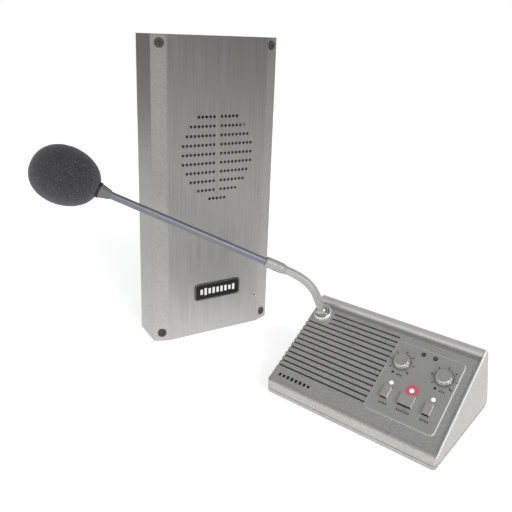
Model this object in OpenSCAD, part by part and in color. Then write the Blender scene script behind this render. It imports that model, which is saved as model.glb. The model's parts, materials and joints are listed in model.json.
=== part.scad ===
// Counter intercom: a sloped desk console with a gooseneck microphone, and the
// tall metal speaker unit that stands on the customer's side of the window.
// The console faces -Y. The origin is the middle of its footprint, on the counter.

/* [Console body] */
// Width of the console
console_w = 150; // [140:1:170]
// Depth of the console on the counter
console_d = 106; // [98:1:120]
// Height of the rear top edge above the underside
rear_h = 61.8; // [56:0.2:68]
// Height of the front edge above the underside
front_h = 10.8; // [10:0.2:13]
// How far the sloped face starts behind the front
face_start = 1; // [0.8:0.1:1.5]
// How far the rear top edge leans forward of the rear bottom edge
rear_lean = 23; // [17:1:26]
// Thickness of the sloped face
face_wall = 3; // [2.6:0.2:3.4]
// Height of the rubber feet
foot_h = 1.2; // [1:0.1:3]
// Height of the base tray's visible edge
tray_h = 3.5; // [3.2:0.1:5]

/* [Grille] */
// Number of grooves in the grille
groove_n = 14; // [10:1:14]
// Distance from one groove to the next
groove_pitch = 4.9; // [4.6:0.1:5]
// Width of a groove at its top
groove_top = 1.7; // [1.5:0.1:2.6]
// Width of the narrow part of a groove and of its slot
groove_slot = 1; // [0.9:0.1:1.4]
// Radius of the console loudspeaker
speaker_r = 26; // [22:1:26]

/* [Controls] */
// Width of the control plate
plate_w = 57; // [54:1:60]
// Length of the control plate along the slope
plate_l = 65; // [62:1:68]
// Diameter of a knob's cap
knob_d = 12; // [10.8:0.2:12.4]
// Diameter of a knob's skirt
skirt_d = 15.2; // [14.4:0.2:16]
// Height of a knob above the plate
knob_h = 4.2; // [3.9:0.1:5]
// Distance between the two knobs
knob_gap = 35; // [32:1:38]
// Width of the two side buttons
side_button_w = 5.8; // [5:0.2:7]
// Width of the centre button
centre_button_w = 11.2; // [9:0.2:12]
// Length of the buttons along the slope
button_l = 10.4; // [9:0.2:11]
// How far a button stands above the plate
button_rise = 2.6; // [2:0.2:3.6]
// Travel of a button
button_travel = 1.2; // [0.8:0.1:1.4]
// Diameter of the indicator lights
light_d = 3.4; // [3:0.1:4]

/* [Microphone] */
// Outer diameter of the ring round the swivel ball
ring_d = 16.5; // [15.5:0.5:17]
// Diameter of the flexible neck
neck_d = 7.4; // [7.2:0.1:8.2]
// Height above the face at which the neck starts to bend
neck_rise = 28.5; // [20:0.5:32]
// Number of links in the flexible neck
link_n = 5; // [3:1:5]
// Distance from one link's centre of bend to the next
link_pitch = 7.6; // [7:0.1:9]
// How far each link is bent from the one before it
link_bend = 10; // [0:0.1:10.5]
// Direction that the neck bends in, from straight down the slope towards the left
neck_turn = 67; // [0:1:90]
// Diameter of the sleeve between the neck and the rod
sleeve_d = 9.4; // [9:0.2:11]
// Length of the sleeve
sleeve_l = 19; // [14:1:24]
// Diameter of the boom rod
rod_d = 6.2; // [5.4:0.1:6.6]
// Length from the last link to the foam ball
boom_l = 166; // [120:1:180]
// Length of the foam windscreen
foam_l = 58; // [46:1:64]
// Diameter of the foam windscreen
foam_d = 48; // [40:1:52]

/* [Wall unit] */
// Height of the wall unit
panel_h = 288; // [260:1:300]
// Width of the wall unit
panel_w = 126; // [120:1:140]
// Depth of the wall unit
panel_t = 40.5; // [38:0.5:50]
// Width of the bevelled strip along each side of its face
strip_w = 14; // [12:0.5:16]
// How far the strip falls back over its width
strip_drop = 5.5; // [4:0.5:7]
// Distance of the wall unit's back from the console's centre, to the left
panel_x = -221; // [-260:1:-215]
// Distance of the wall unit's back from the console's centre, to the rear
panel_y = 13; // [5:1:30]
// Angle between the two units' faces
panel_turn = 69.5; // [60:0.5:75]
// Diameter of the loudspeaker holes
sound_hole_d = 2.8; // [2:0.1:3]
// Distance between holes in a row
sound_hole_pitch = 3.9; // [3.8:0.1:4.2]
// Distance between rows of holes
sound_row_pitch = 8.6; // [8:0.1:9]

/* [Hidden] */
$fn = 48;

face_angle = atan((rear_h - front_h) / (console_d - rear_lean - face_start));
face_l = (rear_h - front_h) / sin(face_angle);
shell_z = foot_h + tray_h;
half_w = console_w / 2;
half_d = console_d / 2;
side_wall = 2.4;
tray_floor_t = 2.4;
boss_gap = 0.2;
rim_h = 1.2;
overlap = 0.05;

// Point of the console's side outline at s along the slope and h above the face
function on_slope(s, h) = [
    face_start - half_d + s * cos(face_angle) - h * sin(face_angle),
    foot_h + front_h + s * sin(face_angle) + h * cos(face_angle)
];

front_lip_r = 3;
front_lip_h = 0.6;
front_lip_s = (front_lip_r - face_start + (front_lip_h - front_lip_r) * sin(face_angle)) / cos(face_angle);
front_lip = on_slope(front_lip_s, front_lip_h - front_lip_r);
rear_lip_r = 4.6;
rear_lip_h = 2;
rear_lip_s = face_l - 4.5;
rear_lip = on_slope(rear_lip_s, rear_lip_h - rear_lip_r);
lip_blend_r = 2.6;
corner_r = 2.5;
// The rear wall runs from the rear bottom edge to a tangent point on the rear lip
rear_foot = [half_d, shell_z];
rear_run = norm(rear_lip - rear_foot);
rear_tilt = atan((rear_foot[0] - rear_lip[0]) / (rear_lip[1] - rear_foot[1])) - asin(rear_lip_r / rear_run);
rear_wall_l = sqrt(rear_run * rear_run - rear_lip_r * rear_lip_r);
rear_top = rear_foot + rear_wall_l * [-sin(rear_tilt), cos(rear_tilt)];

speaker_x = -33;
speaker_s = 47;
cloth_t = 0.6;
speaker_clamp_r = speaker_r + 3.8;
groove_s = 16.5;
groove_x = -half_w - 1;
rim_w = 1.6;
short_groove_x = -55;
plate_x = 37.8;
plate_s = 44.8;
plate_t = 0.8;
plate_corner_r = 4;
knob_s = 59.5;
button_s = 30.7;
side_button_x = 17.2;
light_s = 39.7;
light_play = 0.15;
upper_light_s = 72.6;
upper_light_x = 4.9;
board_h = 11;
board_t = 1.6;
post_x = 24.5;
post_s = [19, 70];
pot_r = 8;
pot_h = 6.4;
pot_bush_r = 3;
nut_t = 1.2;
nut_corner_r = 4.6;
shaft_r = 2;
shaft_gap = 0.05;
shaft_foot = -7.8;
knob_top_t = 0.9;
button_gap = 0.3;
button_lip = 1.1;
button_corner_r = 0.7;
switch_size = 6;
switch_h = 3.2;
plunger_h = 0.7;
boss_x = half_w - 7;
boss_y = [-40, 30];
foot_x = half_w - 15;
foot_y = half_d - 14;

amp_board_size = [60, 36, 1.6];
amp_board_pos = [8, 24];
amp_post_x = [amp_board_pos[0] - 26, amp_board_pos[0] + 26];
amp_post_y = [amp_board_pos[1] - 14, amp_board_pos[1] + 14];
amp_board_z = foot_h + 5.4;
power_x = -4;
power_r = 2.9;
link_x = 22;
link_r = 3.25;
socket_t = 22;
socket_body_t = 2.1;

mic_x = -66;
mic_s = 78;
dome_r = 6.2;
dome_foot = 1.1;
dome_h = 2.6;
neck_seat = 5.6;
spigot_r = 3;
spigot_gap = 0.05;
stem_l = 8;
stem_r = 4.2;
mic_nut_r = 6.3;
mic_nut_t = 3.2;
link_gap = 1.2;
link_ball_r = 2.4;
link_cup_r = 2.7;
rib_pitch = 1.07;
rib_depth = 0.4;
rod_seat = 1;
collar_l = 9;
collar_r = 6;
housing_r = 6.5;
housing_l = 34;
capsule_seat = 12;

wall_t = 2;
face_half = panel_w / 2 - strip_w;
strip_angle = atan(strip_drop / strip_w);
corner_screw_z = [8.4, panel_h - 7.1];
screw_head_r = 4;
post_r = 4.6;
sound_top_z = panel_h - 71;
// Holes in each half of a row, from the top row down
sound_rows = [5, 7, 8, 9, 9, 9, 8, 7, 5];
sound_centre_z = sound_top_z - sound_row_pitch * 4.5;
wall_speaker_r = 38.5;
wall_cloth_t = 0.8;
wall_speaker_y = wall_t + wall_cloth_t - panel_t;
wall_mic_x = face_half * 0.92;
wall_mic_z = panel_h * 0.106;
wall_mic_r = 1.8;
bushing_l = 4;
label_x = 2.2;
label_z = panel_h * 0.156;
label_size = [50, 17.5];
label_t = 0.6;
label_corner_r = 3.5;
fixing_pitch = 208;
cable_z = 62;
cable_r = 3.5;
cable_plug_r = 6;

/* Placing helpers */

// Puts its children on the sloped face, x across and s up the slope, z outwards
module on_face(x, s, h = 0) {
    translate([x, face_start - half_d, foot_h + front_h])
        rotate([face_angle, 0, 0])
            translate([0, s, h])
                children();
}

// Puts its children on the rear wall, t up the wall from its bottom edge, z outwards
module on_rear(x, t, h = 0) {
    translate([x, half_d, shell_z])
        rotate([rear_tilt - 90, 0, 0])
            translate([0, -t, h])
                children();
}

// Extrudes a side outline across the console from x0 to x1
module across(x0, x1) {
    translate([x0, 0, 0])
        rotate([90, 0, 90])
            linear_extrude(x1 - x0)
                children();
}

// Puts its children on the wall unit, x across its face, -y out of it
module on_panel() {
    translate([panel_x, panel_y, 0])
        rotate([0, 0, panel_turn])
            children();
}

// Puts its children on a bevelled strip at height z, their z pointing out of it
module on_strip(side, z) {
    translate([side * (panel_w - strip_w) / 2, strip_drop / 2 - panel_t, z])
        rotate([0, 0, side * strip_angle])
            rotate([90, 0, 0])
                children();
}

// Puts its children at the end of link k of the flexible neck, z along it
module on_neck(k) {
    if (k > 0) {
        on_neck(k - 1)
            rotate([link_bend, 0, 0])
                translate([0, 0, link_pitch])
                    children();
    } else {
        on_face(mic_x, mic_s, neck_rise)
            rotate([0, 0, -neck_turn])
                children();
    }
}

/* Shared shapes */

// Flat rectangle with round corners
module round_rect(w, l, r) {
    square([w - 2 * r, l], center = true);
    square([w, l - 2 * r], center = true);
    for (x = [-1, 1], y = [-1, 1])
        translate([x * (w / 2 - r), y * (l / 2 - r)])
            circle(r);
}

module tube(r_out, r_in, l) {
    difference() {
        cylinder(r = r_out, h = l);
        translate([0, 0, -1])
            cylinder(r = r_in, h = l + 2);
    }
}

// Screw with its head's top at z = 0 and its shank below
module screw(head_r, head_l, shank_r, shank_l, slot_w) {
    difference() {
        translate([0, 0, -head_l])
            cylinder(r = head_r, h = head_l);
        for (a = [0, 90])
            rotate([0, 0, a])
                cube([head_r * 1.1, slot_w, head_l], center = true);
    }
    translate([0, 0, -head_l - shank_l])
        cylinder(r = shank_r, h = shank_l + overlap);
}

// Loudspeaker frame with its mounting rim's front at z = 0
module basket(r, depth, magnet_r) {
    rim_t = 1.5;
    neck_h = 3;
    outer = r * 0.9;
    inner = r * 0.84;
    difference() {
        union() {
            translate([0, 0, -rim_t])
                cylinder(r = r, h = rim_t);
            translate([0, 0, -neck_h])
                cylinder(r = outer, h = neck_h);
            translate([0, 0, -depth])
                cylinder(r1 = magnet_r, r2 = outer, h = depth - neck_h + overlap);
        }
        translate([0, 0, -neck_h])
            cylinder(r = inner, h = neck_h + 1);
        translate([0, 0, 1.2 - depth])
            cylinder(r1 = magnet_r - 2.4, r2 = inner, h = depth - 1.2 - neck_h + overlap);
        for (a = [0 : 90 : 270])
            rotate([0, 0, a + 45])
                translate([outer, 0, -depth * 0.56])
                    cube([outer, outer * 0.6, depth * 0.34], center = true);
    }
}

// Paper cone with its edge roll and dust cap, front edge at z = 0
module paper_cone(r, depth) {
    cap_r = r * 0.3;
    t = 0.7;
    rotate_extrude()
        polygon([
            [0, cap_r * 0.45 - depth], [cap_r * 0.6, cap_r * 0.32 - depth], [cap_r, -depth],
            [r * 0.8, -1.4], [r * 0.88, -0.3], [r * 0.94, -0.3], [r, -1],
            [r, -1 - t], [r * 0.92, -1 - t], [r * 0.84, -1.4 - t], [r * 0.78, -1.6 - t],
            [cap_r, -depth - t], [0, -depth - t]
        ]);
}

/* Console */

// Roll of radius r that stands h above the face, with a concave blend up or down the slope
module lip_outline(s, h, r, side) {
    meet = 0.02;
    rise = lip_blend_r - meet + r - h;
    reach = sqrt(pow(r + lip_blend_r - meet, 2) - rise * rise);
    blend = on_slope(s + side * reach, lip_blend_r - meet);
    translate(on_slope(s, h - r))
        circle(r);
    difference() {
        polygon([on_slope(s, h - r), blend, on_slope(s + side * reach, h - r)]);
        translate(blend)
            circle(lip_blend_r);
    }
}

// Keeps what lies within the console's footprint, which has round corners
module in_footprint() {
    intersection() {
        children();
        translate([0, 0, -1])
            linear_extrude(2 * rear_h)
                round_rect(console_w, console_d, corner_r);
    }
}

// Outline of the console's body above the base tray
module shell_outline() {
    polygon([
        [-half_d, shell_z], [-half_d, front_lip[1]], front_lip,
        on_slope(front_lip_s, 0), on_slope(rear_lip_s, 0),
        rear_lip, rear_top, rear_foot
    ]);
    lip_outline(front_lip_s, front_lip_h, front_lip_r, 1);
    lip_outline(rear_lip_s, rear_lip_h, rear_lip_r, -1);
}

module shell_cavity_outline() {
    back = side_wall / cos(rear_tilt);
    polygon([
        [-half_d + side_wall, shell_z - 1], on_slope(1.2, -face_wall),
        on_slope(face_l - 7, -face_wall),
        rear_top + [-side_wall - 1, -6], rear_foot + [-back + sin(rear_tilt), -1]
    ]);
}

// Thin raised rim that closes the right end of the sloped face
module rim_outline() {
    shell_outline();
    polygon([
        front_lip, on_slope(front_lip_s, front_lip_h), on_slope(8, rim_h),
        on_slope(rear_lip_s - 6, rim_h), on_slope(rear_lip_s, rear_lip_h), rear_lip
    ]);
}

// Cut-outs in the face below the control plate
module control_cutouts(clearance) {
    for (k = [-1, 1])
        on_face(plate_x + k * knob_gap / 2, knob_s, -face_wall - 1)
            cylinder(r = pot_bush_r + 0.2, h = face_wall + 3);
    for (k = [-1, 0, 1]) {
        w = k == 0 ? centre_button_w : side_button_w;
        on_face(plate_x + k * side_button_x, button_s, 0)
            cube([w + 2 * clearance, button_l + 2 * clearance, 3 * face_wall], center = true);
        on_face(plate_x + k * side_button_x, light_s, -face_wall - 1)
            cylinder(r = light_d / 2 + light_play, h = face_wall + 3);
    }
    for (k = [-1, 1])
        on_face(plate_x + k * upper_light_x, upper_light_s, -face_wall - 1)
            cylinder(r = light_d / 2 + light_play, h = face_wall + 3);
}

module groove(x0, x1, s) {
    depth = 1.7;
    on_face(0, s, 0)
        rotate([90, 0, 90])
            translate([0, 0, x0])
                linear_extrude(x1 - x0)
                    polygon([
                        [-groove_top / 2, 0.2], [-groove_slot / 2, -0.8], [-groove_slot / 2, -depth],
                        [groove_slot / 2, -depth], [groove_slot / 2, -0.8], [groove_top / 2, 0.2]
                    ]);
}

module top_shell() {
    color("darkgray")
        difference() {
            union() {
                difference() {
                    union() {
                        in_footprint()
                            across(-half_w, half_w)
                                shell_outline();
                        in_footprint()
                            across(half_w - rim_w, half_w)
                                rim_outline();
                    }
                    across(-half_w + side_wall, half_w - side_wall)
                        shell_cavity_outline();
                }
                intersection() {
                    across(-half_w, half_w)
                        shell_outline();
                    for (k = [-1, 1], y = boss_y)
                        translate([k * boss_x, y, foot_h + tray_floor_t + boss_gap])
                            cylinder(r = 3.2, h = 80);
                }
                for (a = [45 : 90 : 315])
                    on_face(speaker_x + speaker_clamp_r * cos(a), speaker_s + speaker_clamp_r * sin(a),
                            -face_wall - cloth_t - 1.5)
                        cylinder(r = 3, h = cloth_t + 1.6);
                for (k = [-1, 1], s = post_s)
                    on_face(plate_x + k * post_x, s, -board_h)
                        cylinder(r = 2.6, h = board_h - face_wall + 0.1);
            }
            for (k = [-1, 1], y = boss_y)
                translate([k * boss_x, y, foot_h + tray_floor_t - 1])
                    cylinder(r = 1.25, h = 9.5);
            for (a = [45 : 90 : 315])
                on_face(speaker_x + speaker_clamp_r * cos(a), speaker_s + speaker_clamp_r * sin(a), -6)
                    cylinder(r = 1.1, h = 3.6);
            for (k = [-1, 1], s = post_s)
                on_face(plate_x + k * post_x, s, -board_h - 1)
                    cylinder(r = 1.1, h = 6.5);
            for (i = [0 : groove_n - 1]) {
                s = groove_s + groove_pitch * i;
                beside_ring = s > mic_s - ring_d / 2 - 1;
                groove(beside_ring ? short_groove_x : groove_x, plate_x - plate_w / 2 - 0.6, s);
                reach = speaker_r - 3;
                span = reach * reach - (s - speaker_s) * (s - speaker_s);
                if (span > 0)
                    for (k = [-1, 1])
                        on_face(speaker_x + k * (sqrt(span) / 2 + 0.6), s, -face_wall / 2 - 0.5)
                            cube([sqrt(span) - 1.2, groove_slot, face_wall + 0.8], center = true);
            }
            control_cutouts(button_gap);
            on_face(mic_x, mic_s, -face_wall - 1)
                cylinder(r = stem_r + 0.1, h = face_wall + 2);
            on_rear(power_x, socket_t, -side_wall - 3)
                cylinder(r = power_r + socket_body_t + 0.1, h = side_wall + 4);
            on_rear(link_x, socket_t, -side_wall - 3)
                cylinder(r = link_r + socket_body_t + 0.1, h = side_wall + 4);
        }
}

module base_plate() {
    inset = 0.5;
    floor_z = foot_h + tray_floor_t;
    tongue_gap = 0.4;
    tongue_t = 1.4;
    tongue = side_wall + tongue_gap;
    well = tongue + tongue_t;
    color("gray")
        difference() {
            union() {
                translate([0, 0, foot_h])
                    linear_extrude(tray_h)
                        round_rect(console_w - 2 * inset, console_d - 2 * inset, corner_r);
                translate([-half_w + tongue, -half_d + tongue, shell_z - 0.5])
                    cube([console_w - 2 * tongue, console_d - 2 * tongue - 0.8, 1.9]);
            }
            translate([-half_w + well, -half_d + well, floor_z])
                cube([console_w - 2 * well, console_d - 2 * well - 0.8, tray_h + 2]);
            for (k = [-1, 1], y = boss_y)
                translate([k * boss_x, y, 0]) {
                    translate([0, 0, foot_h - 1])
                        cylinder(r = 1.5, h = 5);
                    translate([0, 0, foot_h - 1])
                        cylinder(r = 3, h = 2.2);
                    translate([0, 0, floor_z])
                        cylinder(r = 3.5, h = 6);
                }
        }
    color("gray")
        for (x = amp_post_x, y = amp_post_y)
            translate([x, y, floor_z - 0.2])
                cylinder(r = 2.4, h = amp_board_z - floor_z + 0.2);
}

module rubber_feet() {
    color("black")
        for (x = [-1, 1], y = [-1, 1])
            translate([x * foot_x, y * foot_y, 0])
                cylinder(r1 = 5.8, r2 = 6.4, h = foot_h);
}

module base_screws() {
    color("dimgray")
        for (k = [-1, 1], y = boss_y)
            translate([k * boss_x, y, foot_h])
                rotate([180, 0, 0])
                    screw(2.8, 1.2, 1.24, 8, 0.8);
}

module grille_cloth() {
    color("black")
        on_face(speaker_x, speaker_s, -face_wall - cloth_t)
            cylinder(r = speaker_r, h = cloth_t);
}

module speaker_basket() {
    color("silver")
        on_face(speaker_x, speaker_s, -face_wall - cloth_t)
            basket(speaker_r, 10, 12);
}

module speaker_cone() {
    color("dimgray")
        on_face(speaker_x, speaker_s, -face_wall - cloth_t)
            paper_cone(speaker_r * 0.8, 6.5);
}

module speaker_magnet() {
    color("slategray")
        on_face(speaker_x, speaker_s, -face_wall - cloth_t - 16)
            cylinder(r = 12, h = 6);
}

module speaker_screws() {
    color("silver")
        for (a = [45 : 90 : 315])
            on_face(speaker_x + speaker_clamp_r * cos(a), speaker_s + speaker_clamp_r * sin(a),
                    -face_wall - cloth_t - 1.5)
                rotate([180, 0, 0]) {
                    tube(5, 1, 0.9);
                    translate([0, 0, 2.2])
                        screw(2, 1.3, 1.09, 3.6, 0.5);
                }
}

module control_plate() {
    color("gray")
        difference() {
            on_face(plate_x, plate_s, 0)
                linear_extrude(plate_t)
                    round_rect(plate_w, plate_l, plate_corner_r);
            control_cutouts(button_gap);
        }
}

module control_board() {
    color("green")
        difference() {
            on_face(plate_x, plate_s, -board_h - board_t)
                linear_extrude(board_t)
                    round_rect(plate_w - 2, plate_l - 4, 2);
            for (k = [-1, 1], s = post_s)
                on_face(plate_x + k * post_x, s, -board_h - board_t - 1)
                    cylinder(r = 1.3, h = board_t + 2);
        }
}

module board_screws() {
    color("silver")
        for (k = [-1, 1], s = post_s)
            on_face(plate_x + k * post_x, s, -board_h - board_t)
                rotate([180, 0, 0])
                    translate([0, 0, 1.4])
                        screw(2.2, 1.4, 1.09, 5.5, 0.5);
}

module potentiometer(k) {
    color("silver")
        on_face(plate_x + k * knob_gap / 2, knob_s, 0)
            difference() {
                union() {
                    translate([0, 0, -board_h])
                        cylinder(r = pot_r, h = pot_h);
                    translate([0, 0, pot_h - board_h - overlap])
                        cylinder(r = pot_bush_r, h = board_h - pot_h + overlap + plate_t + nut_t);
                }
                translate([0, 0, shaft_foot - 0.2])
                    cylinder(r = shaft_r + shaft_gap, h = board_h + plate_t + nut_t);
            }
}

module potentiometer_nuts() {
    color("silver")
        for (k = [-1, 1])
            on_face(plate_x + k * knob_gap / 2, knob_s, plate_t)
                difference() {
                    cylinder(r = nut_corner_r, h = nut_t, $fn = 6);
                    translate([0, 0, -1])
                        cylinder(r = pot_bush_r, h = nut_t + 2);
                }
}

module shaft(k) {
    color("gainsboro")
        on_face(plate_x + k * knob_gap / 2, knob_s, shaft_foot)
            cylinder(r = shaft_r, h = plate_t + knob_h - knob_top_t - shaft_foot);
}

// Knob with a wide skirt, a drum with a flat pointer ridge, and a hollow underside
module knob(k) {
    gap = 0.4;
    skirt_t = 0.9;
    edge = 0.5;
    color("lightgray")
        on_face(plate_x + k * knob_gap / 2, knob_s, plate_t)
            difference() {
                union() {
                    translate([0, 0, gap])
                        cylinder(r = skirt_d / 2, h = skirt_t);
                    translate([0, 0, gap])
                        cylinder(r1 = knob_d / 2 + 0.4, r2 = knob_d / 2, h = knob_h - gap - edge);
                    translate([0, 0, knob_h - edge - overlap])
                        cylinder(r1 = knob_d / 2, r2 = knob_d / 2 - edge, h = edge + overlap);
                }
                translate([0, 0, -1])
                    cylinder(r = nut_corner_r + 0.3, h = nut_t + 1.5);
                translate([0, 0, -1])
                    cylinder(r = shaft_r, h = knob_h - knob_top_t + 1);
            }
}

// Button with a lip below the face that keeps it in and a foot that meets its switch
module button(k, w) {
    lip_h = 1;
    lip_gap = 0.3;
    foot_gap = 0.3;
    foot = board_h - switch_h - plunger_h - foot_gap - button_travel;
    color("gray")
        on_face(plate_x + k * side_button_x, button_s, 0) {
            translate([0, 0, -foot])
                linear_extrude(foot + plate_t + button_rise)
                    round_rect(w, button_l, button_corner_r);
            translate([0, 0, -face_wall - lip_gap - lip_h])
                linear_extrude(lip_h)
                    round_rect(w + 2 * button_lip, button_l + 2 * button_lip, button_corner_r);
        }
}

module button_switches() {
    color("dimgray")
        for (k = [-1, 0, 1])
            on_face(plate_x + k * side_button_x, button_s, -board_h) {
                linear_extrude(switch_h)
                    square(switch_size, center = true);
                translate([0, 0, switch_h - overlap])
                    cylinder(r = 1.7, h = plunger_h + overlap);
            }
}

// Round lamp that stands on the control board and shows through the plate
module lamp(x, s, dome_h) {
    on_face(x, s, -board_h) {
        cylinder(r = light_d / 2, h = board_h + plate_t);
        translate([0, 0, board_h + plate_t - overlap])
            cylinder(r1 = light_d / 2, r2 = light_d / 2 - 0.7, h = dome_h);
    }
}

module side_lights() {
    color("white")
        for (k = [-1, 1])
            lamp(plate_x + k * side_button_x, light_s, 0.7);
}

module centre_light() {
    color("red")
        lamp(plate_x, light_s, 0.7);
}

module upper_lights() {
    color("black")
        for (k = [-1, 1])
            lamp(plate_x + k * upper_light_x, upper_light_s, 0.4);
}

module amplifier_board() {
    color("green") {
        translate([amp_board_pos[0], amp_board_pos[1], amp_board_z])
            linear_extrude(amp_board_size[2])
                round_rect(amp_board_size[0], amp_board_size[1], 2);
        for (k = [-1, 0, 1])
            translate([amp_board_pos[0] + k * 14, amp_board_pos[1] - 12, amp_board_z])
                cylinder(r = 2.5, h = 10);
    }
}

// Round panel socket with its collar on the rear wall and its bore open to the rear
module socket(x, bore_r, depth) {
    collar_t = 1.4;
    end_t = 2;
    body_r = bore_r + socket_body_t;
    color("black")
        on_rear(x, socket_t, 0)
            difference() {
                union() {
                    cylinder(r = body_r + 1.2, h = collar_t);
                    translate([0, 0, -depth - end_t])
                        cylinder(r = body_r, h = depth + end_t + overlap);
                }
                translate([0, 0, -depth])
                    cylinder(r = bore_r, h = depth + 3);
            }
}

module power_socket() {
    socket(power_x, power_r, 10);
}

module speaker_socket() {
    socket(link_x, link_r, 14);
}

/* Microphone arm */

module mic_ring() {
    web_t = 0.8;
    rim_l = 2;
    bevel = 0.6;
    color("silver")
        on_face(mic_x, mic_s, 0)
            difference() {
                union() {
                    cylinder(r = ring_d / 2, h = rim_l - bevel);
                    translate([0, 0, rim_l - bevel - overlap])
                        cylinder(r1 = ring_d / 2, r2 = ring_d / 2 - bevel, h = bevel + overlap);
                    translate([0, 0, -stem_l])
                        cylinder(r = stem_r, h = stem_l + overlap);
                }
                translate([0, 0, web_t])
                    cylinder(r = dome_r + 0.3, h = rim_l);
                translate([0, 0, -stem_l - 1])
                    cylinder(r = spigot_r + spigot_gap, h = stem_l + 4);
            }
}

// Ring nut that clamps the ring's stem from inside the shell
module mic_nut() {
    color("silver")
        on_face(mic_x, mic_s, -face_wall - mic_nut_t)
            difference() {
                cylinder(r = mic_nut_r, h = mic_nut_t);
                translate([0, 0, -1])
                    cylinder(r = stem_r, h = mic_nut_t + 2);
                for (a = [0, 90])
                    rotate([0, 0, a])
                        cube([2 * mic_nut_r + 1, 1.6, 2], center = true);
            }
}

// Domed swivel that turns in the ring and holds the neck's foot
module mic_dome() {
    color("silver")
        on_face(mic_x, mic_s, 0)
            difference() {
                union() {
                    translate([0, 0, dome_foot])
                        cylinder(r = dome_r, h = dome_h - dome_foot);
                    intersection() {
                        translate([0, 0, dome_h])
                            sphere(r = dome_r);
                        translate([0, 0, dome_h - overlap])
                            cylinder(r = dome_r + 1, h = dome_r + 1);
                    }
                    translate([0, 0, 0.5 - stem_l])
                        cylinder(r = spigot_r, h = stem_l + dome_foot);
                }
                translate([0, 0, neck_seat])
                    cylinder(r = neck_d / 2, h = dome_r);
            }
}

// A stretch of wound tube along z, as many whole ribs as fit in length l
module wound_tube(l) {
    n = round(l / rib_pitch);
    rib_l = l / n;
    rib_shape = [[-rib_depth, 0], [0, 0.25], [0, 0.75], [-rib_depth, 1]];
    rotate_extrude()
        polygon(concat(
            [[0, 0]],
            [for (i = [0 : n - 1], p = rib_shape) [neck_d / 2 + p[0], (i + p[1]) * rib_l]],
            [[0, l]]
        ));
}

// Straight foot of the neck, pressed into the dome, with the ball for the first link on top
module neck_foot() {
    seat_l = 3;
    color("silver")
        on_face(mic_x, mic_s, neck_seat) {
            cylinder(r = neck_d / 2, h = seat_l);
            translate([0, 0, seat_l - overlap])
                wound_tube(neck_rise - link_gap / 2 - neck_seat - seat_l + overlap);
            translate([0, 0, neck_rise - neck_seat])
                sphere(r = link_ball_r);
        }
}

// One link: a ribbed sleeve with a cup at its foot and a ball at its head
module neck_link(k) {
    color("silver")
        on_neck(k) {
            difference() {
                translate([0, 0, link_gap / 2 - link_pitch])
                    wound_tube(link_pitch - link_gap);
                translate([0, 0, -link_pitch])
                    sphere(r = link_cup_r);
            }
            if (k < link_n)
                sphere(r = link_ball_r);
        }
}

// Sleeve that is crimped over the neck's end and takes the rod
module neck_ferrule() {
    taper_l = 4;
    lip = 0.6;
    color("silver")
        on_neck(link_n)
            difference() {
                translate([0, 0, -link_gap / 2])
                    rotate_extrude()
                        polygon([
                            [0, 0], [neck_d / 2, 0], [sleeve_d / 2, taper_l],
                            [sleeve_d / 2, sleeve_l - lip], [sleeve_d / 2 - lip, sleeve_l], [0, sleeve_l]
                        ]);
                translate([0, 0, rod_seat])
                    cylinder(r = rod_d / 2, h = sleeve_l);
            }
}

module boom_rod() {
    color("lightslategray")
        on_neck(link_n)
            translate([0, 0, rod_seat])
                cylinder(r = rod_d / 2, h = boom_l - rod_seat);
}

module foam_collar() {
    color("dimgray")
        on_neck(link_n)
            translate([0, 0, boom_l - collar_l])
                difference() {
                    cylinder(r1 = rod_d / 2 + 0.6, r2 = collar_r, h = collar_l);
                    translate([0, 0, -1])
                        cylinder(r = rod_d / 2, h = collar_l + 2);
                }
}

module capsule_housing() {
    color("dimgray")
        on_neck(link_n)
            translate([0, 0, boom_l])
                difference() {
                    cylinder(r = housing_r, h = housing_l);
                    translate([0, 0, housing_l - capsule_seat])
                        cylinder(r = housing_r - 1, h = capsule_seat + 1);
                }
}

module mic_capsule() {
    color("silver")
        on_neck(link_n)
            translate([0, 0, boom_l + housing_l - capsule_seat])
                cylinder(r = housing_r - 1, h = capsule_seat - 2);
}

// Blunt egg of foam, wider towards its far end
module foam_windscreen() {
    color("darkslategray")
        on_neck(link_n)
            translate([0, 0, boom_l])
                difference() {
                    rotate_extrude()
                        polygon([for (i = [0 : 36])
                            let (a = i * 5, u = (1 - cos(a)) / 2)
                                [foam_d / 2 * pow(sin(a), 0.9) * (0.955 + 0.09 * u), foam_l * u]]);
                    translate([0, 0, -1])
                        cylinder(r = housing_r, h = housing_l + 1);
                    translate([0, 0, -1])
                        cylinder(r = collar_r + 1.2, h = 2.2);
                }
}

/* Wall unit */

module panel_outline(inset) {
    w = panel_w / 2 - inset;
    f = face_half - inset * tan(strip_angle / 2);
    polygon([
        [-w, 0], [-w, strip_drop - panel_t + inset * tan(45 - strip_angle / 2)], [-f, inset - panel_t],
        [f, inset - panel_t], [w, strip_drop - panel_t + inset * tan(45 - strip_angle / 2)], [w, 0]
    ]);
}

module sound_hole(i, row) {
    translate([i * sound_hole_pitch, -panel_t - 1, sound_top_z - row * sound_row_pitch])
        rotate([-90, 0, 0])
            cylinder(r = sound_hole_d / 2, h = wall_t + 2, $fn = 16);
}

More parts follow.
